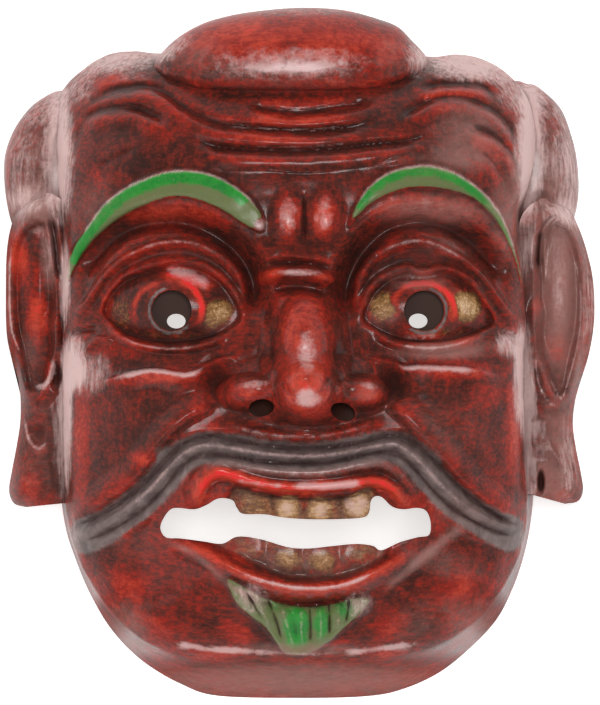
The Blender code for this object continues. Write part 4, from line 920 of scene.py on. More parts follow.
@dataclass(frozen=True)
class Goatee(Part):
    """A short green beard in five pointed locks, and the hard edge of the chin below it."""

    height: float = 3.4
    parting_depth: float = 1.6
    lock_height: float = 1.8

    LOCKS = (
        ((-27, -103), (-25, -108), (-21.6, -114)), ((-19, -106), (-16.6, -113), (-12.6, -122)),
        ((-8, -111), (-5, -121), (-2, -131)), ((1, -112), (1, -121), (1.6, -131)),
        ((9, -111), (9.6, -119), (9.4, -128)), ((17.4, -110), (17.4, -116), (17, -122)),
        ((26, -109.6), (25.4, -112), (24.4, -116)))

    PARTINGS = (
        ((-24, -104), (-20, -111), (-15, -119)), ((-14, -108), (-10.5, -117), (-7.5, -127)),
        ((4.6, -111), (5, -119), (5, -128)), ((13, -110), (13.4, -117), (13.6, -125)),
        ((22, -108), (21.6, -114), (20.4, -120)))
    CHIN = (
        (-66, -127), (-54, -131), (-38, -133), (-12, -134), (14, -134.2), (38, -132.8),
        (54, -129.6), (68, -123))

    def carving(self) -> list[Feature]:
        """The beard, its partings and the edge of the chin."""
        return [
            Terrace(GOATEE, self.height, 2.0),
            *(Stroke(path, -self.parting_depth, 1.4, 1.4, 0.25, 0.5) for path in self.PARTINGS),
            *(Stroke(path, self.lock_height, 3.4, 3.4, 0.2, 0.0) for path in self.LOCKS),
            Stroke(self.CHIN, 2.2, 5.0, 2.6, 0.25, 0.35)]

    def tints(self) -> dict[Tint, list[Feature]]:
        """Green locks, brown partings, red patches on the chin, painted highlights along the locks
        and the chin's edge, and dust with painted sheen on the sides.
        """
        return {
            Tint.GREEN: [Terrace(GOATEE, 1.0, 3.0)],
            Tint.HAZE: daubs(
                (0, -131, 52, 4, 0, 0.55), (52, -118, 22, 12, 30, 0.3),
                (0, -145, 110, 12, 0, 0.75), (-80, -124, 16, 24, -40, 0.5),
                (80, -122, 16, 24, 40, 0.5), (-22, -108, 8, 6, -30, 0.2)),
            # dust and painted sheen on the beard's upper corners and the sides
            Tint.BLOOM: daubs(
                (-21, -108, 10, 8, -30, 0.55), (26, -111, 8, 7, 30, 0.5),
                (-100, -96, 5, 30, 0, 0.5), (100, -96, 5, 30, 0, 0.5)),
            Tint.BRIGHT: daubs(
                (-1, -121, 8, 14, 0, 1.1), (10, -119, 5, 11, 0, 0.9), (20, -113, 8, 6, 20, 0.7),
                (-11, -112, 6, 5, 0, 0.5)),
            # painted highlights along the locks and the chin's edge
            Tint.PALE: [
                *(streak(path, 0.26, 2.2, 0.2) for path in self.LOCKS),
                streak(((-56, -128.4), (-38, -130.6), (-14, -131.8)), 0.62, 4.4),
                streak(((18, -132), (36, -130.6), (54, -127.4)), 0.58, 4.2),
                streak(((-14, -131.8), (2, -133), (18, -132)), 0.4, 2.2),
                *daubs(
                    (-50, -129, 6, 2.2, 0, 0.35), (-31, -131, 9, 2.2, 0, 0.4),
                    (-15, -132, 5, 2, 0, 0.45), (24, -132, 6, 2, 0, 0.45),
                    (42, -130, 9, 2.4, 0, 0.35))],
            Tint.RED: daubs(
                (-28, -123, 11, 6, -30, 0.4), (40, -120, 12, 9, 30, 0.36),
                (-75, -102, 12, 9, -40, 0.3), (68, -104, 14, 8, 40, 0.3),
                (-60, -118, 16, 8, -35, 0.12), (20, -129, 20, 3, 0, 0.16),
                (-34, -132, 14, 3, 0, 0.3), (38, -132, 12, 3, 0, 0.3), (-52, -96, 18, 8, 0, 0.1),
                (0, -144, 90, 10, 0, 0.14)),
            Tint.GRIME_AND_SHADE: [streak(path, 0.42, 1.8, 0.15) for path in self.PARTINGS],
            Tint.MATT: daubs(
                (0, -146, 120, 18, 0, 1.6), (-84, -118, 12, 30, -40, 0.9),
                (84, -116, 12, 30, 40, 0.9)),
        }


class Side(Enum):
    """Which of the two ears, and the way in which it lies from the face."""

    LEFT = -1
    RIGHT = 1


@dataclass(frozen=True)
class Ear(Part):
    """A hanging ear: scooped shell, rim folds and long lobe."""

    side: Side
    height: float = 43.0
    slope: float = 0.16  # how much lower it lies for each millimetre away from the face
    roll: float = 14.0
    roll_width: float = 8.0

    LEFT_SHELL = (
        (-113, 56), (-119, 55), (-123, 49), (-125, 39), (-125.4, 24), (-124.6, 11), (-122.4, 1),
        (-120.6, -8), (-118.6, -16), (-114.6, -18.4), (-111, -13), (-109.6, -4), (-108.6, 6),
        (-108.2, 20), (-108.8, 36), (-110, 48))
    LEFT_FOLDS = (
        Terrace(LEFT_SHELL, -8.0, 4.5),
        Swell((-115, 27), (8, 30), 4.0),
        Stroke(((-108.4, 60), (-107.6, 50), (-106.4, 40), (-105.4, 31)), -8.0, 2.6, 3.0, 0.2, 0.2),
        Stroke(((-110, 69), (-107.4, 59), (-105, 48), (-104, 34)), 3.0, 2.4, 2.4, 0.2, 0.3),
        Swell((-107.6, 11), (5.5, 9), 7.0),
        Swell((-107, -9), (4, 9), -4.5),
        Stroke(
            ((-109.4, -3), (-110.4, -10), (-114, -16.6), (-118.6, -16)), 4.0, 3.0, 3.4, 0.2, 0.3),
        Swell((-114.5, -34), (5.5, 8), -2.8, 0, 1.0),
        Stroke(((-121, -28), (-119, -38), (-114.5, -43), (-109.6, -40)), 2.6, 2.4, 3.0, 0.25, 0.4),
        Swell((-117, -55), (9, 13), 2.5))
    RIGHT_SHELL = (
        (112, 57), (117.6, 53.6), (121.4, 45.6), (123.4, 36), (124, 22), (123.2, 10), (121, 0),
        (119, -10), (117, -17.4), (113.6, -20), (110, -14), (107, -5), (105.4, 8), (105, 24),
        (105.4, 38), (107.6, 50))
    RIGHT_FOLDS = (
        Terrace(RIGHT_SHELL, -8.0, 4.5),
        Swell((114.5, 24), (8.5, 32), 4.5),
        Stroke(((107, 54), (105.4, 46), (105, 36)), -5.0, 3.0, 3.0, 0.2, 0.2),
        Stroke(((109.6, 52), (108, 45), (108, 38), (109, 31)), 2.4, 2.0, 2.4, 0.2, 0.5),
        Swell((104.4, 16), (4.5, 9), 6.0),
        Swell((105.4, -9), (3.6, 9), -2.6),
        Stroke(
            ((104, -1), (107.4, -6), (110, -14), (113.6, -19.4), (117.4, -16)), 4.0, 3.0, 3.4, 0.2,
            0.3),
        Stroke(((104, -22), (108, -25.6), (114, -25.8), (120, -22)), -1.5, 2.4, 2.4, 0.25, 0.4),
        Stroke(((111, -37), (114.6, -44), (117, -54)), 2.0, 2.4, 2.4, 0.25, 0.4),
        Swell((106.4, -57), (2.2, 7), -5.0))

    def carving(self) -> list[Feature]:
        """The shell, its folds and the lobe of this side's ear."""
        return list(self.LEFT_FOLDS if self.side is Side.LEFT else self.RIGHT_FOLDS)

    def level(self, spots: np.ndarray, share: np.ndarray) -> np.ndarray:
        """The ear's front: highest beside the face, rolled over at its outer edge."""
        outer = LEFT_EAR_OUTER if self.side is Side.LEFT else RIGHT_EAR_OUTER
        depth = np.abs(measure(smooth_path(outer), spots)[0])
        roll = self.roll * np.clip(1 - depth / self.roll_width, 0, 1) ** 2
        outward = np.abs(spots[:, 0]) - HALF_WIDTH
        return self.height - self.slope * outward + total(self.carving(), spots) - roll

    def tints(self) -> dict[Tint, list[Feature]]:
        """Red patches in the shell, a rim with dust, painted sheen and painted highlights, a dark
        lobe, and grime with painted shade in the hollows.
        """
        if self.side is Side.LEFT:
            return {
                Tint.RED: daubs(
                    (-123, 40, 5, 14, 0, 0.62), (-115, 15, 6, 14, 0, 0.62),
                    (-112, 52, 6, 4, 0, 0.4), (-110, -9, 4, 6, 0, 0.3), (-114, -33, 5, 6, 0, 0.15),
                    (-118, -60, 6, 8, 0, 0.24), (-116, 30, 9, 24, 0, 0.06)),
                # painted highlights on the rims and folds
                Tint.PALE: [
                    streak(((-126.6, 50), (-127.4, 30), (-126.4, 10), (-121, -4)), 0.62, 1.6),
                    streak(((-109.6, 60), (-107, 48), (-105.4, 33)), 0.5, 1.4),
                    streak(((-108, -2), (-108.6, -9), (-112, -14.6), (-118, -15.4)), 0.85, 3.8),
                    streak(((-121, -28), (-119, -38), (-114.5, -42), (-109, -38)), 0.5, 2.6),
                    *daubs((-115, 53, 6, 4, 0, 0.4))],
                Tint.HAZE: daubs(
                    (-118, 66, 15, 10, 0, 0.7), (-110, 40, 5, 20, 0, 0.55),
                    (-114, -44, 14, 34, 0, 0.34), (-129, 20, 5, 50, 0, 0.4),
                    (-118, 0, 8, 20, 0, 0.3)),
                # dust and painted sheen on the top of the ear
                Tint.BLOOM: daubs((-118, 67, 13, 7, 0, 0.42), (-110, 44, 4, 16, 0, 0.25)),
                Tint.MATT: daubs(
                    (-128, 20, 6, 60, 0, 1.4), (-114, -46, 14, 32, 0, 1.2),
                    (-115, 20, 10, 46, 0, 0.6)),
                # grime and painted shade in the hollows and under the fold, less over the shell
                Tint.GRIME_AND_SHADE: [
                    *daubs(
                        (-107.5, 45, 2.4, 15, 0, 0.6), (-116, 10, 16, 74, 0, -0.36),
                        (-107, -9, 3, 8, 0, 0.6), (-119, -4, 4, 8, 0, 0.45),
                        (-114, -34, 4, 5, 0, 0.35)),
                    streak(
                        ((-104, -4), (-105.4, -14), (-110, -22), (-118, -23), (-124, -14)), 0.55,
                        3.0)],
            }
        return {
            Tint.RED: daubs(
                (105.5, 21, 3.6, 5, 0, 0.55), (114, 2, 6, 9, 0, 0.55), (118, 44, 4, 6, 0, 0.25),
                (115, -63, 6, 4, 0, 0.3), (115, 32, 8, 20, 0, 0.1)),
            # painted highlights on the rims and folds
            Tint.PALE: [
                streak(((110, 50), (109, 39), (108, 28)), 0.6, 1.5),
                streak(
                    (
                        (119, 50), (123.4, 30), (123.6, 10), (118.6, -12), (114.6, -19.6),
                        (107.6, -3.5)), 0.7, 1.5),
                streak(((104, 0), (105, -12), (110, -22), (117, -25)), 0.5, 1.6),
                streak(((108, -28), (110, -40), (116, -50)), 0.5, 1.6),
                streak(((117, -46), (118, -64)), 0.5, 1.6),
                *daubs((114, 24, 5, 24, 0, 0.16))],
            Tint.HAZE: daubs(
                (116, 22, 22, 64, 0, 0.72), (114, 30, 9, 30, 0, 0.25),
                (112, -50, 16, 32, 0, 0.75)),
            # dust and painted sheen on the top and outer edge
            Tint.BLOOM: daubs(
                (115, 61, 13, 8, 0, 0.5), (128, 24, 5, 36, 0, 0.35), (119, -46, 6, 24, 0, 0.35),
                (114, 34, 6, 24, 0, 0.2)),
            Tint.MATT: daubs(
                (129, 16, 6, 60, 0, 1.2), (114, -48, 14, 32, 0, 1.1), (114, 20, 10, 46, 0, 0.6)),
            # grime and painted shade in the hollow by the head and in the slot of the lobe, less
            # over the shell
            Tint.GRIME_AND_SHADE: [
                *daubs((116, 10, 16, 74, 0, -0.36), (106.4, -57, 2.2, 7, 0, 0.9)),
                streak(((105.4, 34), (105, 44), (106.6, 54), (112, 60), (118, 57)), 0.75, 3.2)],
        }


@dataclass(frozen=True)
class Lobe(Part):
    """A lobe of the skull behind the temple, rounded over from the head to its outer edge."""

    outline: Points
    centre: Point
    rise: float = 24.0
    shoulder: float = 12.0

    def level(self, spots: np.ndarray, share: np.ndarray) -> np.ndarray:
        """The lobe's front, as a quarter round."""
        return self.shoulder + self.rise * np.sqrt(np.clip(1 - share**2.6, 0, 1))

    def tints(self) -> dict[Tint, list[Feature]]:
        """Dark, with dust and painted sheen on its outer edge."""
        x, y = self.centre
        out = math.copysign(1.0, x)
        return {
            Tint.RED: daubs((x + out * 4, y, 14, 30, 0, -0.12)),
            # dust and painted sheen where the lobe turns away
            Tint.BLOOM: daubs(
                (x + out * 14, y + 4, 11, 38, 0, 0.28 if x < 0 else 0.56),
                (x + out * 6, y + 30, 14, 10, 0, 0.3), (x - out * 3, y + 6, 5, 36, 0, 0.36)),
            Tint.HAZE: daubs((x + out * 5, y, 20, 44, 0, 0.45)),
        }


@dataclass(frozen=True)
class Wen(Part):
    """The swelling on the crown: a ball stretched so that its widest girth is the outline."""

    centre: Point = (-4, 132)
    girth_level: float = 40.0
    rise: float = 33.0
    fullness: float = 0.8
    lean: float = 6.0  # how far its highest place lies towards the brow
    segments: int = 180
    rings: int = 80

    def build(self) -> bpy.types.Object:
        """The wen as a closed body."""
        bm = bmesh.new()
        bmesh.ops.create_uvsphere(bm, u_segments=self.segments, v_segments=self.rings, radius=1)
        for vert in bm.verts:
            x, y, z = vert.co
            out = math.hypot(x, y)
            reach = float(reach_at(WEN, self.centre, np.array([math.atan2(y, x)]))[0])
            across = reach * out**self.fullness / max(out, 1e-6)
            lean = self.lean * max(z, 0.0) ** 2
            vert.co = (self.centre[0] + x * across, self.centre[1] + y * across - lean,
                       self.girth_level + self.rise * z)
        return finished_helper(bm, "wen")

    def tints(self) -> dict[Tint, list[Feature]]:
        """Vermilion on top, a painted highlight streaked across the middle, a seam with less grime
        and painted shade, and dust with painted sheen at the edge.
        """
        x, y = self.centre
        return {
            Tint.RED: daubs(
                (x, y + 7, 54, 15, 0, 0.36), (x, y - 4, 50, 8, 0, 0.16),
                (x, y - 15, 56, 4.6, 0, 0.25), (-40, y + 2, 14, 8, 10, 0.12),
                (38, y + 1, 12, 8, -10, 0.12)),
            # dust and painted sheen round the wen's edge
            Tint.BLOOM: daubs(
                (-57, 136, 12, 8, 25, 0.55), (52, 131, 7, 13, 0, 0.5), (-4, 151, 60, 4, 0, 0.3)),
            # a painted highlight streaked across the wen's middle
            Tint.PALE: [
                *(streak(((-38 + step, y - 5 - step * 0.12), (-6, y - 6.4 - step * 0.2),
                          (30 - step, y - 4.6)), 0.45, 1.8) for step in (0, 6, 12)),
                *daubs((-4, y - 5, 42, 9, 0, 0.5))],
            Tint.HAZE: daubs(
                (-44, y - 2, 16, 12, 20, 0.35), (40, y, 12, 14, 0, 0.3),
                (-4, y - 10, 44, 4, 0, 0.3), (-4, y - 15, 50, 4, 0, 0.3)),
            # takes some of the grime and painted shade out of the seam under the wen
            Tint.GRIME_AND_SHADE: [
                streak(
                    ((-58, 118), (-40, 115.4), (0, 114.6), (36, 115.6), (52, 119)), -0.9, 7.0,
                    0.08)],
        }


def dome(spots: np.ndarray) -> np.ndarray:
    """The smooth front of the block before the carving."""
    curve = smooth_path(PROFILE)
    middle = np.interp(spots[:, 1], curve[:, 0], curve[:, 1])
    side = np.abs(spots[:, 0]) / HALF_WIDTH
    return middle - SIDE_FALL * side**2 - CORNER_FALL * side**4.5


@dataclass(frozen=True)
class Front:
    """The front of the face: the dome with every part's carving on it."""

    parts: tuple[Part, ...]
    rounding: float = 5.0  # how far the front drops away at its edge
    edge_start: float = 0.93  # the share at which it starts to drop
    edge_width: float = 0.07

    def level(self, spots: np.ndarray, share: np.ndarray) -> np.ndarray:
        """The height of each spot, whose share is 0 in the middle and 1 at the front's edge."""
        edge = self.rounding * np.clip((share - self.edge_start) / self.edge_width, 0, 1) ** 2
        carving = [feature for part in self.parts for feature in part.carving()]
        return dome(spots) + total(carving, spots) - edge

    def at(self, spot: Point) -> float:
        """The height of one spot well inside the edge."""
        return float(self.level(np.array([spot], float), np.zeros(1))[0])


def hollow_level(spots: np.ndarray, share: np.ndarray) -> np.ndarray:
    """The bottom of the hollow, a wall's thickness under the deepest furrow."""
    return dome(spots) - DEEPEST_FURROW - WALL - HOLLOW_FALL * share**5


def reach_at(outline: Points, centre: Point, angle: np.ndarray) -> np.ndarray:
    """How far a closed outline is from the centre at each angle."""
    path = smooth_path(outline, closed=True)[:-1] - np.array(centre)
    angles = np.arctan2(path[:, 1], path[:, 0]) % math.tau
    order = np.argsort(angles)
    radii = np.hypot(path[:, 0], path[:, 1])
    return np.interp(angle % math.tau, angles[order], radii[order], period=math.tau)


class Plan(Protocol):
    """A way to lay a square grid over an area of the front plane."""

    def places(self, u: np.ndarray, v: np.ndarray) -> np.ndarray:
        """Where each point of the grid goes, u and v being -1 to 1."""


@dataclass(frozen=True)
class RoundPlan:
    """Lays a square grid inside a closed outline, spreading it from a centre."""

    outline: Points
    inset: float = 0.0
    centre: Point = (0.0, 0.0)

    def places(self, u: np.ndarray, v: np.ndarray) -> np.ndarray:
        """Where each point of the grid goes, u and v being -1 to 1."""
        share = np.maximum(np.abs(u), np.abs(v))
        wide = np.abs(u) >= np.abs(v)
        across = v / np.where(u == 0, 1, u)
        up = u / np.where(v == 0, 1, v)
        angle = math.pi / 4 * np.where(wide, across, 2 - up)
        angle += math.pi * np.where(wide, u < 0, v < 0)
        ray = np.column_stack([np.cos(angle), np.sin(angle)])
        reach = reach_at(self.outline, self.centre, angle) - self.inset
        return np.array(self.centre) + ray * (share * reach)[:, None]


@dataclass(frozen=True)
class RuledPlan:
    """Lays a square grid between two paths that run side by side from bottom to top."""

    left: Points
    right: Points

    def places(self, u: np.ndarray, v: np.ndarray) -> np.ndarray:
        """Where each point of the grid goes, u and v being -1 to 1."""
        ends = [self.spread(path, v) for path in (self.left, self.right)]
        share = (u[:, None] + 1) / 2
        return ends[0] * (1 - share) + ends[1] * share

    @staticmethod
    def spread(points: Points, v: np.ndarray) -> np.ndarray:
        """The places on a path at these shares of its length, -1 being its start."""
        path = smooth_path(points)
        passed = np.concatenate([[0], np.cumsum(np.hypot(*(path[1:] - path[:-1]).T))])
        at = (v + 1) / 2 * passed[-1]
        return np.column_stack([np.interp(at, passed, axis) for axis in path.T])


def finished_helper(bm: bmesh.types.BMesh, name: str) -> bpy.types.Object:
    """Turns every face outwards and puts the body in the scene, hidden from renders.

    Args:
        bm: the closed body, which is freed.
        name: the name of the object.

    Returns:
        The object.
    """
    bmesh.ops.recalc_face_normals(bm, faces=bm.faces)
    mesh = bpy.data.meshes.new(name)
    bm.to_mesh(mesh)
    bm.free()
    obj = bpy.data.objects.new(name, mesh)
    obj.hide_render = True
    obj.display_type = "WIRE"
    bpy.context.scene.collection.objects.link(obj)
    return obj


def plain_mesh(obj: bpy.types.Object) -> bpy.types.Mesh:
    """The object as its modifiers leave it, as a mesh of its own."""
    bpy.context.view_layer.update()
    graph = bpy.context.evaluated_depsgraph_get()
    return bpy.data.meshes.new_from_object(obj.evaluated_get(graph))


def column(mesh: bpy.types.Mesh) -> np.ndarray:
    """The places of the mesh's vertices, one row each."""
    flat = np.empty(len(mesh.vertices) * 3, np.float32)
    mesh.vertices.foreach_get("co", flat)
    return flat.reshape(-1, 3).astype(float)


def neighbours(mesh: bpy.types.Mesh) -> tuple[np.ndarray, np.ndarray, np.ndarray]:
    """Each edge's two vertices, and how many edges each vertex has."""
    ends = np.empty(len(mesh.edges) * 2, np.int32)
    mesh.edges.foreach_get("vertices", ends)
    first, second = ends.reshape(-1, 2).T
    return first, second, np.bincount(ends, minlength=len(mesh.vertices))


@dataclass(frozen=True)
class Block:
    """A body with a carved front, side walls from its front edge to its foot and a flat back."""

    name: str
    front: Plan
    foot: Plan  # whose border the walls run down to
    level: Callable[[np.ndarray, np.ndarray], np.ndarray]
    cells: int
    floor: float = 0.0
    rubbings: int = 1  # passes that even out the marks of the grid

    def build(self) -> bpy.types.Object:
        """The body as a closed mesh."""
        bm = bmesh.new()
        bmesh.ops.create_grid(bm, x_segments=self.cells, y_segments=self.cells, size=1)
        for ring in range(1, WALL_RINGS + 1):
            border = [edge for edge in bm.edges if edge.is_boundary]
            made = bmesh.ops.extrude_edge_only(bm, edges=border)
            for vert in (item for item in made["geom"] if isinstance(item, bmesh.types.BMVert)):
                vert.co.z = ring
        border = [edge for edge in bm.edges if edge.is_boundary]
        bmesh.ops.edgeloop_fill(bm, edges=border)
        bmesh.ops.triangulate(bm, faces=[face for face in bm.faces if len(face.verts) > 4])
        obj = finished_helper(bm, self.name)
        self.shape(obj.data)
        return outward(obj)

    def shape(self, mesh: bpy.types.Mesh) -> None:
        """Moves the flat grid to its place, the front first and then the rings of the wall."""
        u, v, ring = column(mesh).T
        spots = self.front.places(u, v)
        down = (ring / WALL_RINGS)[:, None]
        places = spots * (1 - down) + self.foot.places(u, v) * down
        top = self.level(spots, np.maximum(np.abs(u), np.abs(v)))
        first, second, count = neighbours(mesh)
        for _ in range(self.rubbings):
            around = np.bincount(first, top[second], len(top))
            around += np.bincount(second, top[first], len(top))
            top = np.where(ring == 0, (top + around / count) / 2, top)
        level = top[:, None] * (1 - down) + self.floor * down
        mesh.vertices.foreach_set("co", np.hstack([places, level]).ravel())
        mesh.update()


def outward(obj: bpy.types.Object) -> bpy.types.Object:
    """Turns every face of a closed mesh to look out."""
    bm = bmesh.new()
    bm.from_mesh(obj.data)
    bmesh.ops.recalc_face_normals(bm, faces=bm.faces)
    bm.to_mesh(obj.data)
    bm.free()
    return obj


@dataclass(frozen=True)
class ToolMarks:
    """Shallow scoops that a gouge leaves side by side, as one Geometry Nodes tree."""

    size: float  # of one scoop, in millimetres
    depth: float
    seed: float
    lowest: float  # below this level the wood is left as it is

    TREE = "tool_marks"
    BLENDING = 0.12  # how far neighbouring scoops run into each other
    LIP = 0.45  # how high the wood between the scoops stands, in depths
    REACH = 0.7  # beyond this a scoop is no higher
    RISE = 6.0  # millimetres over the lowest level at which the marks are whole
    SOCKETS = (
        ("Geometry", "NodeSocketGeometry"), ("Mark Size", "NodeSocketFloat"),
        ("Depth", "NodeSocketFloat"), ("Seed", "NodeSocketFloat"), ("Lowest", "NodeSocketFloat"),
        ("Material", "NodeSocketMaterial"))

    @classmethod
    def tree(cls) -> bpy.types.GeometryNodeTree:
        """The tree, built once and shared by all that use it."""
        found = bpy.data.node_groups.get(cls.TREE)
        if found:
            return found
        tree = bpy.data.node_groups.new(cls.TREE, "GeometryNodeTree")
        for name, kind in cls.SOCKETS:
            tree.interface.new_socket(name, in_out="INPUT", socket_type=kind)
        tree.interface.new_socket("Geometry", in_out="OUTPUT", socket_type="NodeSocketGeometry")
        nodes = Wiring(tree)
        given = nodes.add("NodeGroupInput").outputs
        place = nodes.add("GeometryNodeInputPosition").outputs[0]
        cells = nodes.add("ShaderNodeTexVoronoi", voronoi_dimensions="4D", feature="SMOOTH_F1")
        nodes.feed(cells, "Vector", place)
        nodes.feed(cells, "W", given["Seed"])
        nodes.feed(cells, "Scale", nodes.math("DIVIDE", 1.0, given["Mark Size"]))
        nodes.feed(cells, "Smoothness", cls.BLENDING)
        scoop = nodes.math("MULTIPLY", cells.outputs["Distance"], cells.outputs["Distance"])
        scoop = nodes.math("SUBTRACT", cls.LIP, nodes.math("MINIMUM", scoop, cls.REACH))
        height = nodes.add("ShaderNodeSeparateXYZ")
        nodes.feed(height, "Vector", place)
        above = nodes.math("SUBTRACT", height.outputs["Z"], given["Lowest"])
        above = nodes.math("DIVIDE", above, cls.RISE, clamp=True)
        push = nodes.math("MULTIPLY", nodes.math("MULTIPLY", scoop, given["Depth"]), above)
        scale = nodes.add("ShaderNodeVectorMath", operation="SCALE")
        nodes.feed(scale, 0, nodes.add("GeometryNodeInputNormal").outputs[0])
        nodes.feed(scale, "Scale", push)
        moved = nodes.add("GeometryNodeSetPosition")
        nodes.feed(moved, "Geometry", given["Geometry"])
        nodes.feed(moved, "Offset", scale.outputs["Vector"])
        real = nodes.add("GeometryNodeRealizeInstances")
        nodes.feed(real, "Geometry", moved.outputs["Geometry"])
        painted = nodes.add("GeometryNodeSetMaterial")
        nodes.feed(painted, "Geometry", real.outputs["Geometry"])
        nodes.feed(painted, "Material", given["Material"])
        out = nodes.add("NodeGroupOutput")
        nodes.feed(out, "Geometry", painted.outputs["Geometry"])
        return tree

    def on(self, obj: bpy.types.Object, material: bpy.types.Material) -> None:
        """Puts the marks on an object, whose faces then have the material.

        Args:
            obj: the helper to mark.
            material: what the marked wood is finished with.
        """
        tree = self.tree()
        modifier = obj.modifiers.new(self.TREE, "NODES")
        modifier.node_group = tree
        given = {"Mark Size": self.size, "Depth": self.depth, "Seed": self.seed,
                 "Lowest": self.lowest, "Material": material}
        for item in tree.interface.items_tree:
            if item.in_out == "INPUT" and item.name in given:
                modifier[item.identifier] = given[item.name]
        obj.data.materials.append(material)


class Wiring:
    """Adds nodes to a tree in rows and links what feeds them."""

    def __init__(self, tree: bpy.types.NodeTree) -> None:
        """Starts on a tree, which keeps any nodes it has."""
        self.tree = tree

    def add(self, kind: str, **settings: object) -> bpy.types.Node:
        """Adds a node and gives it these settings."""
        node = self.tree.nodes.new(kind)
        count = len(self.tree.nodes)
        node.location = (count // 8 * 220, -(count % 8) * 180)
        for name, value in settings.items():
            setattr(node, name, value)
        return node

    def feed(self, node: bpy.types.Node, name: Union[str, int], value: object) -> None:
        """Links a socket to an input of the node, or sets the input to a plain value."""
        if isinstance(value, bpy.types.NodeSocket):
            self.tree.links.new(value, node.inputs[name])
        elif isinstance(value, tuple) and node.inputs[name].type == "RGBA":
            node.inputs[name].default_value = (*value[:3], 1.0)
        else:
            node.inputs[name].default_value = value

    def math(self, operation: str, first: Value, second: Value = 0.0,
             clamp: bool = False) -> Socket:
        """One step of arithmetic on two values."""
        node = self.add("ShaderNodeMath", operation=operation, use_clamp=clamp)
        self.feed(node, 0, first)
        self.feed(node, 1, second)
        return node.outputs[0]

    def plus(self, *values: Value) -> Socket:
        """The sum of the values."""
        found = values[0]
        for value in values[1:]:
            found = self.math("ADD", found, value)
        return found

    def times(self, *values: Value) -> Socket:
        """The product of the values."""
        found = values[0]
        for value in values[1:]:
            found = self.math("MULTIPLY", found, value)
        return found

    def span(self, value: Value, low: float, high: float, start: float = 0.0,
             end: float = 1.0, soft: bool = True) -> Socket:
        """Maps low to high onto start to end, easing in and out where soft."""
        node = self.add("ShaderNodeMapRange", clamp=True,
                        interpolation_type="SMOOTHSTEP" if soft else "LINEAR")
        for name, given in (("Value", value), ("From Min", low), ("From Max", high),
                            ("To Min", start), ("To Max", end)):
            self.feed(node, name, given)
        return node.outputs["Result"]

    def mix(self, share: Value, first: object, second: object, blend: str = "MIX") -> Socket:
        """One colour, or the other as the share goes from 0 to 1."""
        node = self.add("ShaderNodeMix", data_type="RGBA", blend_type=blend)
        self.feed(node, "Factor", share)
        colours = [socket for socket in node.inputs if socket.type == "RGBA"]
        for socket, value in zip(colours, (first, second)):
            if isinstance(value, bpy.types.NodeSocket):
                self.tree.links.new(value, socket)
            else:
                socket.default_value = (*value, 1.0)
        return next(socket for socket in node.outputs if socket.type == "RGBA")

    def blend(self, share: Value, first: Value, second: Value) -> Socket:
        """One value, or the other as the share goes from 0 to 1."""
        node = self.add("ShaderNodeMix", data_type="FLOAT")
        for name, value in (("Factor", share), ("A", first), ("B", second)):
            self.feed(node, name, value)
        return node.outputs[0]

    def ramp(self, value: Value, *stops: tuple[float, Colour]) -> Socket:
        """The colour at a place between the stops."""
        node = self.add("ShaderNodeValToRGB")
        band = node.color_ramp
        for place, colour in stops[1:-1]:
            band.elements.new(place).color = (*colour, 1.0)
        band.elements[0].position, band.elements[0].color = stops[0][0], (*stops[0][1], 1.0)
        last = band.elements[len(band.elements) - 1]
        last.position, last.color = stops[-1][0], (*stops[-1][1], 1.0)
        self.feed(node, "Fac", value)
        return node.outputs["Color"]

    def noise(self, where: Socket, size: float, detail: float = 3.0, roughness: float = 0.55,
              distortion: float = 0.0) -> Socket:
        """Cloudy noise whose blotches are about this many millimetres across."""
        node = self.add("ShaderNodeTexNoise")
        for name, value in (("Vector", where), ("Scale", 1.0 / size), ("Detail", detail),
                            ("Roughness", roughness), ("Distortion", distortion)):
            self.feed(node, name, value)
        return node.outputs["Fac"]

    def stretched(self, where: Socket, scale: tuple[float, float, float], turn: float,
                  shift: tuple[float, float, float] = (0.0, 0.0, 0.0)) -> Socket:
        """The place turned about Z by so many degrees, shifted and drawn out."""
        node = self.add("ShaderNodeMapping", vector_type="POINT")
        for name, value in (("Vector", where), ("Scale", scale), ("Location", shift),
                            ("Rotation", (0.0, 0.0, math.radians(turn)))):
            self.feed(node, name, value)
        return node.outputs["Vector"]

    def attribute(self, name: str) -> Socket:
        """The value that each place of the mesh has under this name."""
        return self.add("ShaderNodeAttribute", attribute_name=name).outputs["Fac"]

    def use(self, tree: bpy.types.NodeTree, **given: object) -> dict[str, Socket]:
        """Puts a group in the tree, its inputs named with underscores for spaces."""
        node = self.add("ShaderNodeGroup", node_tree=tree)
        for name, value in given.items():
            self.feed(node, name.replace("_", " "), value)
        return {socket.name: socket for socket in node.outputs}


def shader_group(name: str, inputs: dict[str, str],
                 outputs: dict[str, str]) -> tuple[Wiring, dict[str, Socket], bpy.types.Node]:
    """Starts a shader group.

    Args:
        name: what the group is called.
        inputs: the kind of each input, by name.
        outputs: the same for the outputs.

    Returns:
        The wiring of the new tree, its inputs by name and the node that takes its outputs.
    """
    tree = bpy.data.node_groups.new(name, "ShaderNodeTree")
    for side, sockets in (("INPUT", inputs), ("OUTPUT", outputs)):
        for label, kind in sockets.items():
            tree.interface.new_socket(label, in_out=side, socket_type=f"NodeSocket{kind}")
    wiring = Wiring(tree)
    given = {socket.name: socket for socket in wiring.add("NodeGroupInput").outputs}
    return wiring, given, wiring.add("NodeGroupOutput")


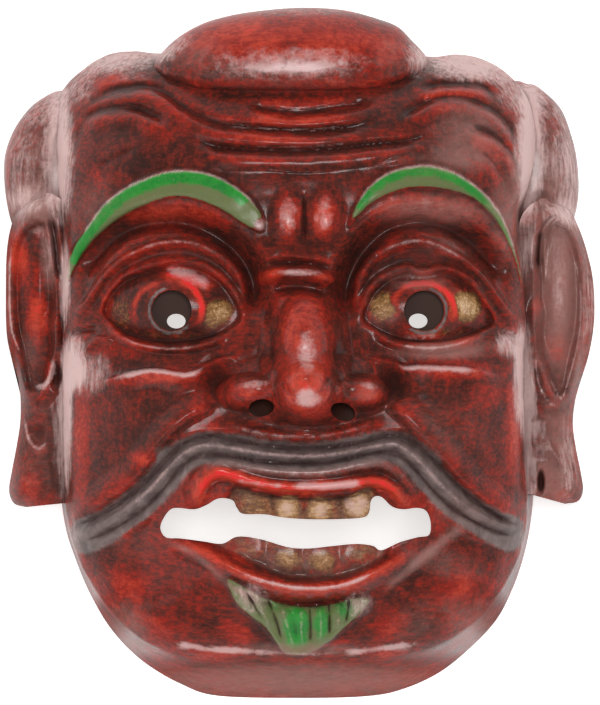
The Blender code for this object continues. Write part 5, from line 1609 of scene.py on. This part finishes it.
def mottle_group() -> bpy.types.NodeTree:
    """Uneven paint: broad clouds, blotches and brush streaks, each near 0.5 on the mean."""
    nodes, given, out = shader_group("mottle", {"Where": "Vector"},
                                     {"Clouds": "Float", "Blotches": "Float", "Streaks": "Float",
                                      "Specks": "Float", "Flecks": "Float"})
    where = given["Where"]
    flecks = nodes.noise(nodes.stretched(where, (0.6, 1.0, 1.0), 20.0), 1.7, 3.0, 0.7, 0.5)
    nodes.feed(out, "Flecks", nodes.span(flecks, 0.42, 0.62))
    nodes.feed(out, "Clouds", nodes.noise(where, 26.0, 3.0, 0.5))
    blotches = nodes.noise(where, 6.5, 5.0, 0.62, 0.6)
    nodes.feed(out, "Blotches", nodes.span(blotches, 0.32, 0.68, soft=False))
    along = nodes.noise(nodes.stretched(where, (0.16, 1.0, 1.0), 6.0), 1.5, 3.0, 0.6, 0.3)
    cross = nodes.noise(nodes.stretched(where, (1.0, 0.2, 1.0), -12.0, (40.0, 7.0, 3.0)),
                        1.8, 3.0, 0.6, 0.3)
    pick = nodes.span(nodes.noise(where, 34.0, 1.0), 0.45, 0.55)
    nodes.feed(out, "Streaks", nodes.span(nodes.blend(pick, along, cross), 0.3, 0.7, soft=False))
    specks = nodes.noise(where, 0.9, 2.0, 0.7)
    nodes.feed(out, "Specks", nodes.span(specks, 0.56, 0.68))
    return nodes.tree


def ragged_group() -> bpy.types.NodeTree:
    """The worn edge of a layer: turns how much of it lies at a place into where it covers."""
    nodes, given, out = shader_group("ragged", {"Where": "Vector", "Amount": "Float",
                                                "Wear": "Float", "Softness": "Float"},
                                     {"Cover": "Float"})
    coarse = nodes.noise(given["Where"], 4.2, 4.0, 0.6, 0.4)
    fine = nodes.noise(given["Where"], 1.1, 2.0, 0.6)
    rough = nodes.plus(nodes.times(coarse, 0.7), nodes.times(fine, 0.3), -0.5)
    some = nodes.span(given["Amount"], 0.0, 0.25, soft=False)
    value = nodes.plus(given["Amount"], nodes.times(rough, given["Wear"], some), -0.5)
    value = nodes.plus(nodes.math("DIVIDE", value, given["Softness"]), 0.5)
    nodes.feed(out, "Cover", nodes.span(value, 0.0, 1.0))
    return nodes.tree


def layer_group() -> bpy.types.NodeTree:
    """One coat of paint over what is under it."""
    nodes, given, out = shader_group(
        "paint_layer",
        {"Cover": "Float", "Colour": "Color", "Paint Colour": "Color", "Roughness": "Float",
         "Paint Roughness": "Float", "Height": "Float", "Thickness": "Float"},
        {"Colour": "Color", "Roughness": "Float", "Height": "Float"})
    cover = given["Cover"]
    nodes.feed(out, "Colour", nodes.mix(cover, given["Colour"], given["Paint Colour"]))
    nodes.feed(out, "Roughness", nodes.blend(cover, given["Roughness"], given["Paint Roughness"]))
    nodes.feed(out, "Height", nodes.plus(given["Height"], nodes.times(cover, given["Thickness"])))
    return nodes.tree


def grain_group() -> bpy.types.NodeTree:
    """Old hand-cut wood: long grain, a darker ring here and there, and short pores."""
    nodes, given, out = shader_group("wood_grain", {"Where": "Vector"},
                                     {"Grain": "Float", "Pores": "Float", "Stain": "Float"})
    where = given["Where"]
    bend = nodes.add("ShaderNodeVectorMath", operation="ADD")
    sway = nodes.add("ShaderNodeTexNoise")
    nodes.feed(sway, "Vector", where)
    nodes.feed(sway, "Scale", 0.018)
    swing = nodes.add("ShaderNodeVectorMath", operation="SCALE")
    nodes.feed(swing, 0, sway.outputs["Color"])
    nodes.feed(swing, "Scale", 18.0)
    nodes.feed(bend, 0, where)
    nodes.feed(bend, 1, swing.outputs["Vector"])
    long = nodes.stretched(bend.outputs["Vector"], (1.0, 0.055, 1.0), 4.0)
    grain = nodes.noise(long, 2.6, 5.0, 0.68)
    nodes.feed(out, "Grain", nodes.span(grain, 0.28, 0.72, soft=False))
    short = nodes.stretched(where, (1.0, 0.12, 1.0), 4.0)
    nodes.feed(out, "Pores", nodes.span(nodes.noise(short, 0.5, 1.0), 0.60, 0.72))
    nodes.feed(out, "Stain", nodes.noise(where, 42.0, 4.0, 0.6))
    return nodes.tree


@dataclass(frozen=True)
class Varnish:
    """The clear coat that lies over paint or wood."""

    weight: float
    roughness: float
    index: float = 1.5
    under: float = 0.02  # how much the paint itself shines under it


@dataclass(frozen=True)
class Coat:
    """One coat of paint, dust, wear, painted highlight, sheen or shade over what is under it."""

    cover: Socket
    paint: object  # its colour, plain or from a socket
    roughness: float
    thickness: float = 0.0  # in millimetres


@dataclass(frozen=True)
class PaintedWood:
    """Old distemper and varnish over carved wood: red to maroon, green, charcoal and gold, with
    painted highlights, sheen and shade.
    """

    varnish: Varnish = Varnish(0.30, 0.20)
    black: Colour = (0.032, 0.012, 0.009)
    maroon: Colour = (0.062, 0.014, 0.010)
    brown_red: Colour = (0.135, 0.019, 0.012)
    red: Colour = (0.285, 0.019, 0.011)
    vermilion: Colour = (0.470, 0.046, 0.022)
    blood: Colour = (0.760, 0.028, 0.026)
    # grime colour, also painted shade in furrows, hollows and creases
    grime_and_shade: Colour = (0.030, 0.010, 0.008)
    haze: Colour = (0.330, 0.160, 0.140)
    # pale dust colour, also painted sheen on surfaces that turn sideways
    dust_and_sheen: Colour = (0.700, 0.485, 0.460)
    # rubbed pink, also the colour of painted highlights
    pale: Colour = (0.660, 0.430, 0.410)
    olive: Colour = (0.132, 0.160, 0.060)
    emerald: Colour = (0.010, 0.190, 0.026)
    leaf: Colour = (0.030, 0.280, 0.036)
    charcoal: Colour = (0.100, 0.074, 0.070)
    ash: Colour = (0.225, 0.165, 0.155)
    bronze: Colour = (0.075, 0.034, 0.013)
    old_gold: Colour = (0.330, 0.165, 0.052)
    cream_gold: Colour = (0.640, 0.420, 0.230)
    # the inside of the bores: blackening and painted shade
    pit_and_shade: Colour = (0.062, 0.038, 0.032)
    contrast: float = 0.72  # how far one step of brightness goes along the reds
    stops: tuple[float, ...] = (0.0, 0.145, 0.29, 0.46, 0.69, 0.95)  # where each red lies
    # crests are lighter red and paler from wear and as painted highlight
    crest_red: float = 0.16
    crest_pale: float = 0.10
    # how dark the furrows get: grime and painted shade
    furrow_grime_and_shade: float = 0.46
    gilding: float = 1.9  # how readily gold covers
    matt_roughness: float = 0.75

    MOTTLING = (("Clouds", -0.5, 0.62), ("Blotches", -0.5, 0.24), ("Streaks", -0.5, 0.24),
                ("Flecks", -0.45, 0.20))  # each output, what centres it and how much it counts

    def build(self, groups: dict[str, bpy.types.NodeTree]) -> bpy.types.Material:
        """The material.

        Args:
            groups: the shared shader groups by name.

        Returns:
            The painted wood.
        """
        material = bpy.data.materials.new("painted_wood")
        material.use_nodes = True
        nodes = Wiring(material.node_tree)
        where = millimetres(nodes)
        mottle = nodes.use(groups["mottle"], Where=where)
        colour, roughness, height = self.ground(nodes, mottle)
        for coat in self.coats(nodes, groups["ragged"], where, mottle):
            done = nodes.use(groups["paint_layer"], Cover=coat.cover, Colour=colour,
                             Paint_Colour=coat.paint, Roughness=roughness,
                             Paint_Roughness=coat.roughness, Height=height,
                             Thickness=coat.thickness)
            colour, roughness, height = done["Colour"], done["Roughness"], done["Height"]
        worn = nodes.math("MAXIMUM", nodes.attribute(Tint.MATT.value),
                          nodes.attribute(Tint.PIT_AND_SHADE.value))
        worn = nodes.math("MAXIMUM", worn, nodes.times(nodes.attribute(Tint.GRIME_AND_SHADE.value), 0.5))
        gloss = nodes.math("MULTIPLY", self.varnish.weight, nodes.math("SUBTRACT", 1.0, worn), True)
        dull = nodes.math("MINIMUM", nodes.attribute(Tint.MATT.value), 1.0)
        roughness = nodes.blend(dull, roughness, self.matt_roughness)
        finish(nodes, colour, roughness, height, self.varnish, gloss)
        return material

    def ground(self, nodes: Wiring, mottle: dict[str, Socket]) -> tuple[Socket, Socket, Socket]:
        """The red that lies under everything, by how bright it is at each place."""
        bright = nodes.plus(
            nodes.attribute(Tint.RED.value),
            *(nodes.times(nodes.plus(mottle[name], mean), share)
              for name, mean, share in self.MOTTLING),
            nodes.times(nodes.attribute("crest"), self.crest_red))
        reds = (self.black, self.maroon, self.brown_red, self.red, self.vermilion, self.blood)
        colour = nodes.ramp(nodes.times(bright, self.contrast), *zip(self.stops, reds))
        roughness = nodes.plus(0.27, nodes.times(mottle["Blotches"], 0.16),
                               nodes.times(mottle["Specks"], 0.10))
        height = nodes.plus(nodes.times(mottle["Streaks"], 0.13),
                            nodes.times(mottle["Blotches"], 0.10))
        return colour, roughness, height

    def coats(self, nodes: Wiring, ragged: bpy.types.NodeTree, where: Socket,
              mottle: dict[str, Socket]) -> list[Coat]:
        """The coats over the ground, from the lowest up.

        Args:
            nodes: the wiring of the material.
            ragged: the group that gives a coat its worn edge.
            where: the place in millimetres.
            mottle: the outputs of the mottle group.

        Returns:
            The coats.
        """
        def cover(amount: Value, wear: float, softness: float) -> Socket:
            """Where a coat covers."""
            return nodes.use(ragged, Where=where, Amount=amount, Wear=wear,
                             Softness=softness)["Cover"]

        gilt = nodes.plus(nodes.attribute(Tint.GILT.value),
                          nodes.times(nodes.plus(mottle["Streaks"], -0.5), 0.34),
                          nodes.times(nodes.plus(mottle["Flecks"], -0.4), 0.28),
                          nodes.times(mottle["Specks"], 0.34))
        gold = nodes.ramp(gilt, (0.15, self.bronze), (0.62, self.old_gold), (1.15, self.cream_gold))
        fresh = cover(nodes.attribute(Tint.BRIGHT.value), 1.2, 0.55)
        leaf = nodes.mix(mottle["Blotches"], self.emerald, self.leaf)
        green = nodes.mix(fresh, self.olive, leaf)
        green = nodes.mix(nodes.times(mottle["Specks"], 0.25), green, self.ash)
        grey = nodes.mix(mottle["Blotches"], self.charcoal, self.ash)
        furrow = nodes.attribute("furrow")
        dust_and_sheen = nodes.attribute(Tint.BLOOM.value)
        pit_and_shade = nodes.attribute(Tint.PIT_AND_SHADE.value)
        # brush streaks through the dust and painted sheen
        brushed = nodes.noise(nodes.stretched(where, (1.0, 0.14, 1.0), 8.0), 1.7, 3.0, 0.6, 0.3)
        dust = nodes.times(nodes.plus(brushed, -0.5), 1.3,
                           nodes.span(dust_and_sheen, 0.0, 0.3, soft=False))
        # grime and painted shade, from the tint and from the furrows
        grime_and_shade = nodes.plus(nodes.attribute(Tint.GRIME_AND_SHADE.value),
                           nodes.times(furrow, self.furrow_grime_and_shade))
        # rubbed paint and painted highlights, from the tint and from the crests
        pale = nodes.plus(nodes.attribute(Tint.PALE.value),
                          nodes.times(nodes.attribute("crest"), self.crest_pale))
        haze = nodes.plus(nodes.attribute(Tint.HAZE.value), nodes.times(dust, 0.3))
        gilded = nodes.times(nodes.attribute(Tint.GILT.value), self.gilding)
        return [
            Coat(cover(gilded, 1.5, 0.6), gold, roughness=0.40, thickness=0.05),
            Coat(cover(nodes.attribute(Tint.GREY.value), 0.8, 0.5), grey, roughness=0.42,
                 thickness=0.08),
            Coat(cover(nodes.attribute(Tint.GREEN.value), 0.7, 0.35), green, roughness=0.38,
                 thickness=0.12),
            Coat(nodes.times(cover(haze, 0.7, 1.0), 0.9), self.haze, roughness=0.44),
            # dust and painted sheen
            Coat(nodes.times(cover(nodes.plus(dust_and_sheen, dust), 0.9, 1.1), 0.9), self.dust_and_sheen,
                 roughness=0.46),
            # grime and painted shade
            Coat(nodes.times(cover(grime_and_shade, 0.5, 0.95), 0.92), self.grime_and_shade, roughness=0.36),
            # rubbed paint and painted highlights
            Coat(nodes.times(cover(pale, 1.4, 0.8), 0.75), self.pale, roughness=0.34,
                 thickness=0.03),
            # blackening and painted shade inside the bores
            Coat(nodes.math("MINIMUM", pit_and_shade, 1.0),
                 nodes.mix(nodes.plus(pit_and_shade, -1.0), self.pit_and_shade, self.black), roughness=0.85),
        ]


@dataclass(frozen=True)
class BareWood:
    """The unpainted back, brown with age and handling."""

    varnish: Varnish = Varnish(0.08, 0.4)
    dark: Colour = (0.070, 0.034, 0.017)
    brown: Colour = (0.190, 0.100, 0.048)
    light: Colour = (0.360, 0.220, 0.120)

    def build(self, groups: dict[str, bpy.types.NodeTree]) -> bpy.types.Material:
        """The material, from the shared shader groups."""
        material = bpy.data.materials.new("bare_wood")
        material.use_nodes = True
        nodes = Wiring(material.node_tree)
        grain = nodes.use(groups["wood_grain"], Where=millimetres(nodes))
        tone = nodes.plus(nodes.times(grain["Grain"], 0.55), nodes.times(grain["Stain"], 0.7),
                          -0.15)
        colour = nodes.ramp(tone, (0.1, self.dark), (0.5, self.brown), (0.9, self.light))
        colour = nodes.mix(nodes.times(grain["Pores"], 0.7), colour, self.dark)
        roughness = nodes.plus(0.55, nodes.times(grain["Grain"], 0.2))
        height = nodes.plus(nodes.times(grain["Grain"], 0.12), nodes.times(grain["Pores"], -0.1))
        finish(nodes, colour, roughness, height, self.varnish, self.varnish.weight)
        return material


def millimetres(nodes: Wiring) -> Socket:
    """The place on the object, in millimetres."""
    scaled = nodes.add("ShaderNodeVectorMath", operation="SCALE")
    nodes.feed(scaled, 0, nodes.add("ShaderNodeTexCoord").outputs["Object"])
    nodes.feed(scaled, "Scale", 1.0 / MM)
    return scaled.outputs["Vector"]


def finish(nodes: Wiring, colour: Socket, roughness: Socket, height: Socket,
           varnish: Varnish, coat: Value) -> None:
    """Joins the colour, roughness and height to the material's shader.

    Args:
        nodes: the wiring of the material.
        colour: the base colour.
        roughness: the roughness under the varnish.
        height: the relief in millimetres.
        varnish: the clear coat over it all.
        coat: how much of that coat is left.
    """
    shader = nodes.tree.nodes["Principled BSDF"]
    bump = nodes.add("ShaderNodeBump")
    nodes.feed(bump, "Strength", 1.0)
    nodes.feed(bump, "Distance", MM)
    nodes.feed(bump, "Height", height)
    nodes.feed(shader, "Base Color", colour)
    nodes.feed(shader, "Roughness", roughness)
    nodes.feed(shader, "Normal", bump.outputs["Normal"])
    nodes.feed(shader, "Specular IOR Level", varnish.under)
    nodes.feed(shader, "Coat Weight", coat)
    nodes.feed(shader, "Coat Roughness", varnish.roughness)
    nodes.feed(shader, "Coat IOR", varnish.index)


@dataclass(frozen=True)
class Bore:
    """A round or oval hole sunk from the front."""

    middle: Point
    radius: float
    low: float
    squash: float = 1.0
    turn: float = 0.0  # degrees anticlockwise
    sides: int = 64

    def build(self) -> bpy.types.Object:
        """The cutter for the hole."""
        bm = bmesh.new()
        made = bmesh.ops.create_cone(bm, cap_ends=True, segments=self.sides, radius1=self.radius,
                                     radius2=self.radius, depth=TOP - self.low)
        angle = math.radians(self.turn)
        for vert in made["verts"]:
            x, y = vert.co.x, vert.co.y * self.squash
            vert.co.x = self.middle[0] + x * math.cos(angle) - y * math.sin(angle)
            vert.co.y = self.middle[1] + x * math.sin(angle) + y * math.cos(angle)
            vert.co.z += (self.low + TOP) / 2
        return finished_helper(bm, "bore")


@dataclass(frozen=True)
class Bores:
    """The pupil pits with the sight holes at their bottom, and the nostrils."""

    front: Front
    pupils: tuple[Point, Point] = ((-56, 18.4), (55, 18.2))
    sights: tuple[Point, Point] = ((-54, 13.6), (52.4, 13.7))
    nostrils: tuple[Point, Point] = ((-16.6, -24.6), (19.4, -26.4))
    nostril_turns: Point = (8, -22)
    pupil_radius: float = 8.8
    pupil_depth: float = 8.0
    sight_radius: float = 4.1
    nostril_radius: float = 5.6
    nostril_depth: float = 7.0
    sight_foot: float = 10.0  # inside the hollow, where the sight holes end
    sight_squash: float = 0.78
    nostril_squash: float = 0.68
    margin: float = 0.6  # how far past a bore's wall, and how far under the front, it is dark with painted shade
    darkening: float = 2.0  # millimetres further down, where the painted shade is as dark as a pupil gets

    def build(self) -> list[bpy.types.Object]:
        """The cutters."""
        found = []
        for pupil, sight in zip(self.pupils, self.sights):
            found.append(Bore(pupil, self.pupil_radius, self.front.at(pupil) - self.pupil_depth))
            found.append(Bore(sight, self.sight_radius, self.sight_foot, self.sight_squash))
        for nostril, turn in zip(self.nostrils, self.nostril_turns):
            found.append(Bore(nostril, self.nostril_radius,
                              self.front.at(nostril) - self.nostril_depth,
                              self.nostril_squash, turn))
        return [bore.build() for bore in found]

    def darkness(self, spots: np.ndarray, sunk: np.ndarray) -> np.ndarray:
        """How black each spot is from how far it lies under the carved front: blackening and
        painted shade.
        """
        found = np.zeros(len(spots))
        for middles, radius, most in ((self.pupils, self.pupil_radius, 1.0),
                                      (self.nostrils, self.nostril_radius, 2.0)):
            for middle in middles:
                near = np.hypot(*(spots - np.array(middle)).T) < radius + self.margin
                dark = np.clip((sunk - self.margin) / self.darkening, 0, most)
                found = np.maximum(found, near * dark)
        return found


def mouth_cutter() -> bpy.types.Object:
    """The open mouth, right through the wood: a flat outline with a thickness."""
    path = smooth_path(MOUTH, closed=True, steps=6)[:-1]
    bm = bmesh.new()
    levels = np.linspace(MOUTH_FOOT, TOP, MOUTH_RINGS)
    rings = [[bm.verts.new((x, y, z)) for x, y in path] for z in levels]
    for lower, upper in zip(rings, rings[1:]):
        for a, b, c, d in zip(lower, lower[1:] + lower[:1], upper[1:] + upper[:1], upper):
            bm.faces.new((a, b, c, d))
    bm.faces.new(rings[0])
    bm.faces.new(rings[-1])
    return finished_helper(bm, "mouth_cutter")


RUNS_OUT = (Tint.GREY, Tint.GREEN, Tint.BRIGHT, Tint.PALE, Tint.BLOOM)  # end on the sides


@dataclass(frozen=True)
class Mask:
    """The whole mask as one piece of wood."""

    face: tuple[Part, ...] = (Forehead(), Brows(), Eyes(), Cheeks(), Nose(), Moustache(),
                              Mouth(), Goatee())
    wen: Wen = Wen()
    left_ear: Ear = Ear(Side.LEFT)
    right_ear: Ear = Ear(Side.RIGHT)
    left_lobe: Lobe = Lobe(LEFT_LOBE, (-108, 78))
    right_lobe: Lobe = Lobe(RIGHT_LOBE, (105, 80))
    face_cells: int = 400
    side_cells: int = 110
    hollow_cells: int = 130
    hollow_inset: float = WALL + 2
    base_red: float = 0.34
    run_down: float = 24.0  # how far the paint of the front runs down the sides, in millimetres
    run_hold: float = 1.4  # above 1 it starts to fade that much further down
    least_dust_and_sheen: float = 0.3  # share of the dust and painted sheen that stays on what doesn't face up
    dust_and_sheen_slope: float = 0.35  # the Z of a normal, from which all of it stays

    def build(self, paint: bpy.types.Material, wood: bpy.types.Material) -> bpy.types.Object:
        """Carves, joins and paints the mask, and puts it in the CAD's place.

        Args:
            paint: the finish of the front and sides.
            wood: the finish of the hollow and of all that faces down.

        Returns:
            The finished piece.
        """
        front = Front(self.face)
        bores = Bores(front)
        body = Block("face", RoundPlan(FRONT_EDGE), RoundPlan(RIM_EDGE), front.level,
                     self.face_cells).build()
        ToolMarks(size=9.0, depth=0.5, seed=3.0, lowest=4.0).on(body, paint)
        added = self.additions()
        hollow = Block("hollow", RoundPlan(FRONT_EDGE, self.hollow_inset),
                       RoundPlan(RIM_EDGE, RIM_WIDTH), hollow_level, self.hollow_cells,
                       HOLLOW_FOOT).build()
        ToolMarks(size=15.0, depth=2.6, seed=11.0, lowest=6.0).on(hollow, wood)
        removed = [hollow, mouth_cutter(), *bores.build()]
        for others, operation in ((added, "UNION"), (removed, "DIFFERENCE")):
            for other in others:
                modifier = body.modifiers.new(other.name, "BOOLEAN")
                modifier.operation = operation
                modifier.solver = "MANIFOLD"
                modifier.material_mode = "TRANSFER"  # the hollow's faces keep its own material
                modifier.object = other
        mesh = self.thinned(body)
        for helper in (body, *added, *removed):
            bpy.data.objects.remove(helper)
        self.dress(mesh, front, bores)
        self.set_materials(mesh, paint, wood)
        self.place(mesh)
        piece = bpy.data.objects.new("carved_mask", mesh)
        bpy.context.scene.collection.objects.link(piece)
        return piece

    def additions(self) -> list[bpy.types.Object]:
        """The wen, the lobes of the skull and the ears."""
        left = RoundPlan(LEFT_LOBE, centre=self.left_lobe.centre)
        right = RoundPlan(RIGHT_LOBE, centre=self.right_lobe.centre)
        left_ear = RuledPlan(LEFT_EAR_OUTER, LEFT_EAR_INNER)
        right_ear = RuledPlan(RIGHT_EAR_INNER, RIGHT_EAR_OUTER)
        cells = self.side_cells
        return [
            self.wen.build(),
            Block("left_lobe", left, left, self.left_lobe.level, cells, LOBE_LIFT).build(),
            Block("right_lobe", right, right, self.right_lobe.level, cells, LOBE_LIFT).build(),
            Block("left_ear", left_ear, left_ear, self.left_ear.level, cells, EAR_LIFT).build(),
            Block("right_ear", right_ear, right_ear, self.right_ear.level, cells,
                  EAR_LIFT).build(),
        ]

    def thinned(self, body: bpy.types.Object) -> bpy.types.Mesh:
        """The joined body as a mesh with no more triangles than a piece may have."""
        whole = plain_mesh(body)
        whole.calc_loop_triangles()
        count = len(whole.loop_triangles)
        LOG.info("joined: %d triangles", count)
        if count <= MOST_TRIANGLES:
            return whole
        helper = bpy.data.objects.new("joined", whole)
        bpy.context.scene.collection.objects.link(helper)
        modifier = helper.modifiers.new("thin", "DECIMATE")
        modifier.ratio = MOST_TRIANGLES / count
        mesh = plain_mesh(helper)
        bpy.data.objects.remove(helper)
        return mesh

    def dress(self, mesh: bpy.types.Mesh, front: Front, bores: Bores) -> None:
        """Gives each vertex its tints, and how far it stands out from what is round it."""
        places = column(mesh)
        spots = places[:, :2]
        found = {tint: np.zeros(len(spots)) for tint in Tint}
        found[Tint.RED] += self.base_red
        sunk = front.level(spots, np.zeros(len(spots))) - places[:, 2]
        near = np.clip(self.run_hold - sunk / self.run_down, 0, 1)
        for part in self.face:
            for tint, features in part.tints().items():
                found[tint] += total(features, spots) * (near if tint in RUNS_OUT else 1.0)
        normals = np.empty(len(places) * 3, np.float32)
        mesh.vertices.foreach_get("normal", normals)
        # dust and painted sheen on the wen, ears and lobes stays mostly where they face up
        upward = np.clip(normals[2::3] / self.dust_and_sheen_slope, 0, 1)
        dust_and_sheen_share = self.least_dust_and_sheen + (1 - self.least_dust_and_sheen) * upward
        for part in (self.wen, self.left_ear, self.right_ear, self.left_lobe, self.right_lobe):
            for tint, features in part.tints().items():
                found[tint] += total(features, spots) * (dust_and_sheen_share if tint is Tint.BLOOM else 1.0)
        # blackening and painted shade inside the bores, darker further down
        found[Tint.PIT_AND_SHADE] += bores.darkness(spots, sunk)
        stand = self.standing(mesh, places)
        values = {tint.value: value for tint, value in found.items()}
        values["crest"] = np.clip(stand / CREST_HEIGHT, 0, 1)
        values["furrow"] = np.clip(-stand / FURROW_DEPTH, 0, 1)
        for name, value in values.items():
            mesh.attributes.new(name, "FLOAT", "POINT")
            mesh.attributes[name].data.foreach_set("value", value.astype(np.float32))

    @staticmethod
    def standing(mesh: bpy.types.Mesh, places: np.ndarray, passes: int = 24) -> np.ndarray:
        """How far each vertex stands out from the smoothed surface, in millimetres."""
        first, second, count = neighbours(mesh)
        count = np.maximum(count, 1)[:, None]
        smooth = places.copy()
        for _ in range(passes):
            around = np.column_stack([
                np.bincount(first, smooth[second, axis], len(smooth))
                + np.bincount(second, smooth[first, axis], len(smooth)) for axis in range(3)])
            smooth = (smooth + around / count) / 2
        normals = np.empty(len(places) * 3, np.float32)
        mesh.vertices.foreach_get("normal", normals)
        return ((places - smooth) * normals.reshape(-1, 3)).sum(axis=1)

    @staticmethod
    def set_materials(mesh: bpy.types.Mesh, paint: bpy.types.Material,
                      wood: bpy.types.Material) -> None:
        """Paint in front, bare wood in the hollow and on all that faces down."""
        names = [material.name if material else "" for material in mesh.materials]
        index = np.empty(len(mesh.polygons), np.int32)
        mesh.polygons.foreach_get("material_index", index)
        hollow = np.array([name == wood.name for name in names])[index]
        normals = np.empty(len(mesh.polygons) * 3, np.float32)
        mesh.polygons.foreach_get("normal", normals)
        bare = hollow | (normals.reshape(-1, 3)[:, 2] < DOWNWARD)
        mesh.materials.clear()
        mesh.materials.append(paint)
        mesh.materials.append(wood)
        mesh.polygons.foreach_set("material_index", bare.astype(np.int32))

    @staticmethod
    def place(mesh: bpy.types.Mesh) -> None:
        """Leans the sides in, brings it to metres and centres it on its own box."""
        places = column(mesh)
        places[:, :2] *= 1 - places[:, 2:] / DRAFT_LENGTH
        middle = (places[:, :2].min(axis=0) + places[:, :2].max(axis=0)) / 2
        LOG.info("centred by %.2f, %.2f mm", *middle)
        places[:, :2] -= middle
        mesh.vertices.foreach_set("co", (places * MM).ravel())
        mesh.shade_smooth()
        mesh.set_sharp_from_angle(angle=math.radians(SHARP_ANGLE))
        mesh.update()


@dataclass(frozen=True)
class Studio:
    """A pale floor in even white light, and the camera straight above the mask."""

    camera_height: float = 1.5
    view_width: float = 0.264  # of the floor that the picture shows
    middle: Point = (0.00071, 0.00198)  # of the view
    floor_glow: float = 0.62
    horizon: float = 1.1
    overhead: float = 0.14
    floor_reach: float = 4  # metres from the middle to each side of the floor
    floor_colour: Colour = (0.80, 0.80, 0.79)
    sensor_width: float = 36.0

    LIGHTS = (("key", (0.08, 0.20, 1.9), 0.60, 22.0), ("fill", (-0.9, -0.5, 1.3), 0.9, 4.0))

    def build(self) -> None:
        """The floor, the lights and the camera."""
        self.floor()
        self.world()
        for light in self.LIGHTS:
            self.light(*light)
        self.camera()
        bpy.context.scene.view_settings.view_transform = "Standard"
        bpy.context.scene.cycles.use_denoising = True

    def floor(self) -> None:
        """A pale floor that is as light as a lit studio table."""
        mesh = bpy.data.meshes.new("floor")
        far = self.floor_reach
        corners = [(-far, -far, 0), (far, -far, 0), (far, far, 0), (-far, far, 0)]
        mesh.from_pydata(corners, [], [(0, 1, 2, 3)])
        material = bpy.data.materials.new("pale_floor")
        material.use_nodes = True
        nodes = Wiring(material.node_tree)
        shader = material.node_tree.nodes["Principled BSDF"]
        nodes.feed(shader, "Base Color", self.floor_colour)
        nodes.feed(shader, "Roughness", 0.9)
        nodes.feed(shader, "Emission Color", (1.0, 1.0, 1.0))
        nodes.feed(shader, "Emission Strength", self.floor_glow)
        mesh.materials.append(material)
        floor = bpy.data.objects.new("floor", mesh)
        bpy.context.scene.collection.objects.link(floor)

    def world(self) -> None:
        """White walls all round, and a darker ceiling."""
        world = bpy.data.worlds.new("studio")
        world.use_nodes = True
        bpy.context.scene.world = world
        nodes = Wiring(world.node_tree)
        split = nodes.add("ShaderNodeSeparateXYZ")
        nodes.feed(split, 0, nodes.add("ShaderNodeTexCoord").outputs["Generated"])
        up = nodes.span(split.outputs["Z"], 0.10, 0.70, self.horizon, self.overhead)
        back = world.node_tree.nodes["Background"]
        nodes.feed(back, "Color", (1.0, 1.0, 1.0))
        nodes.feed(back, "Strength", up)

    @staticmethod
    def light(name: str, place: tuple[float, float, float], size: float, power: float) -> None:
        """A square soft light that looks at the middle of the mask.

        Args:
            name: the light's name.
            place: where it stands, in metres.
            size: the length of its side.
            power: its power in watts.
        """
        light = bpy.data.objects.new(name, bpy.data.lights.new(name, "AREA"))
        light.data.energy = power
        light.data.size = size
        light.location = place
        aim = Vector((0.0, 0.0, 0.05)) - Vector(place)
        light.rotation_euler = aim.to_track_quat("-Z", "Y").to_euler()
        bpy.context.scene.collection.objects.link(light)

    def camera(self) -> None:
        """The camera, looking straight down."""
        camera = bpy.data.objects.new("camera", bpy.data.cameras.new("camera"))
        camera.location = (*self.middle, self.camera_height)
        camera.data.sensor_fit = "HORIZONTAL"
        camera.data.sensor_width = self.sensor_width
        camera.data.lens = self.sensor_width * self.camera_height / self.view_width
        bpy.context.scene.collection.objects.link(camera)
        bpy.context.scene.camera = camera


def main() -> None:
    """Builds the mask in its frame, then the studio round it."""
    logging.basicConfig(level=logging.INFO, format="%(message)s")
    groups = {"mottle": mottle_group(), "ragged": ragged_group(), "paint_layer": layer_group(),
              "wood_grain": grain_group()}
    piece = Mask().build(PaintedWood().build(groups), BareWood().build(groups))
    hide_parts(NODE)
    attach(piece, BODY)
    piece.data.calc_loop_triangles()
    LOG.info("%s: %d triangles", piece.name, len(piece.data.loop_triangles))
    Studio().build()


if __name__ == "__main__":
    main()
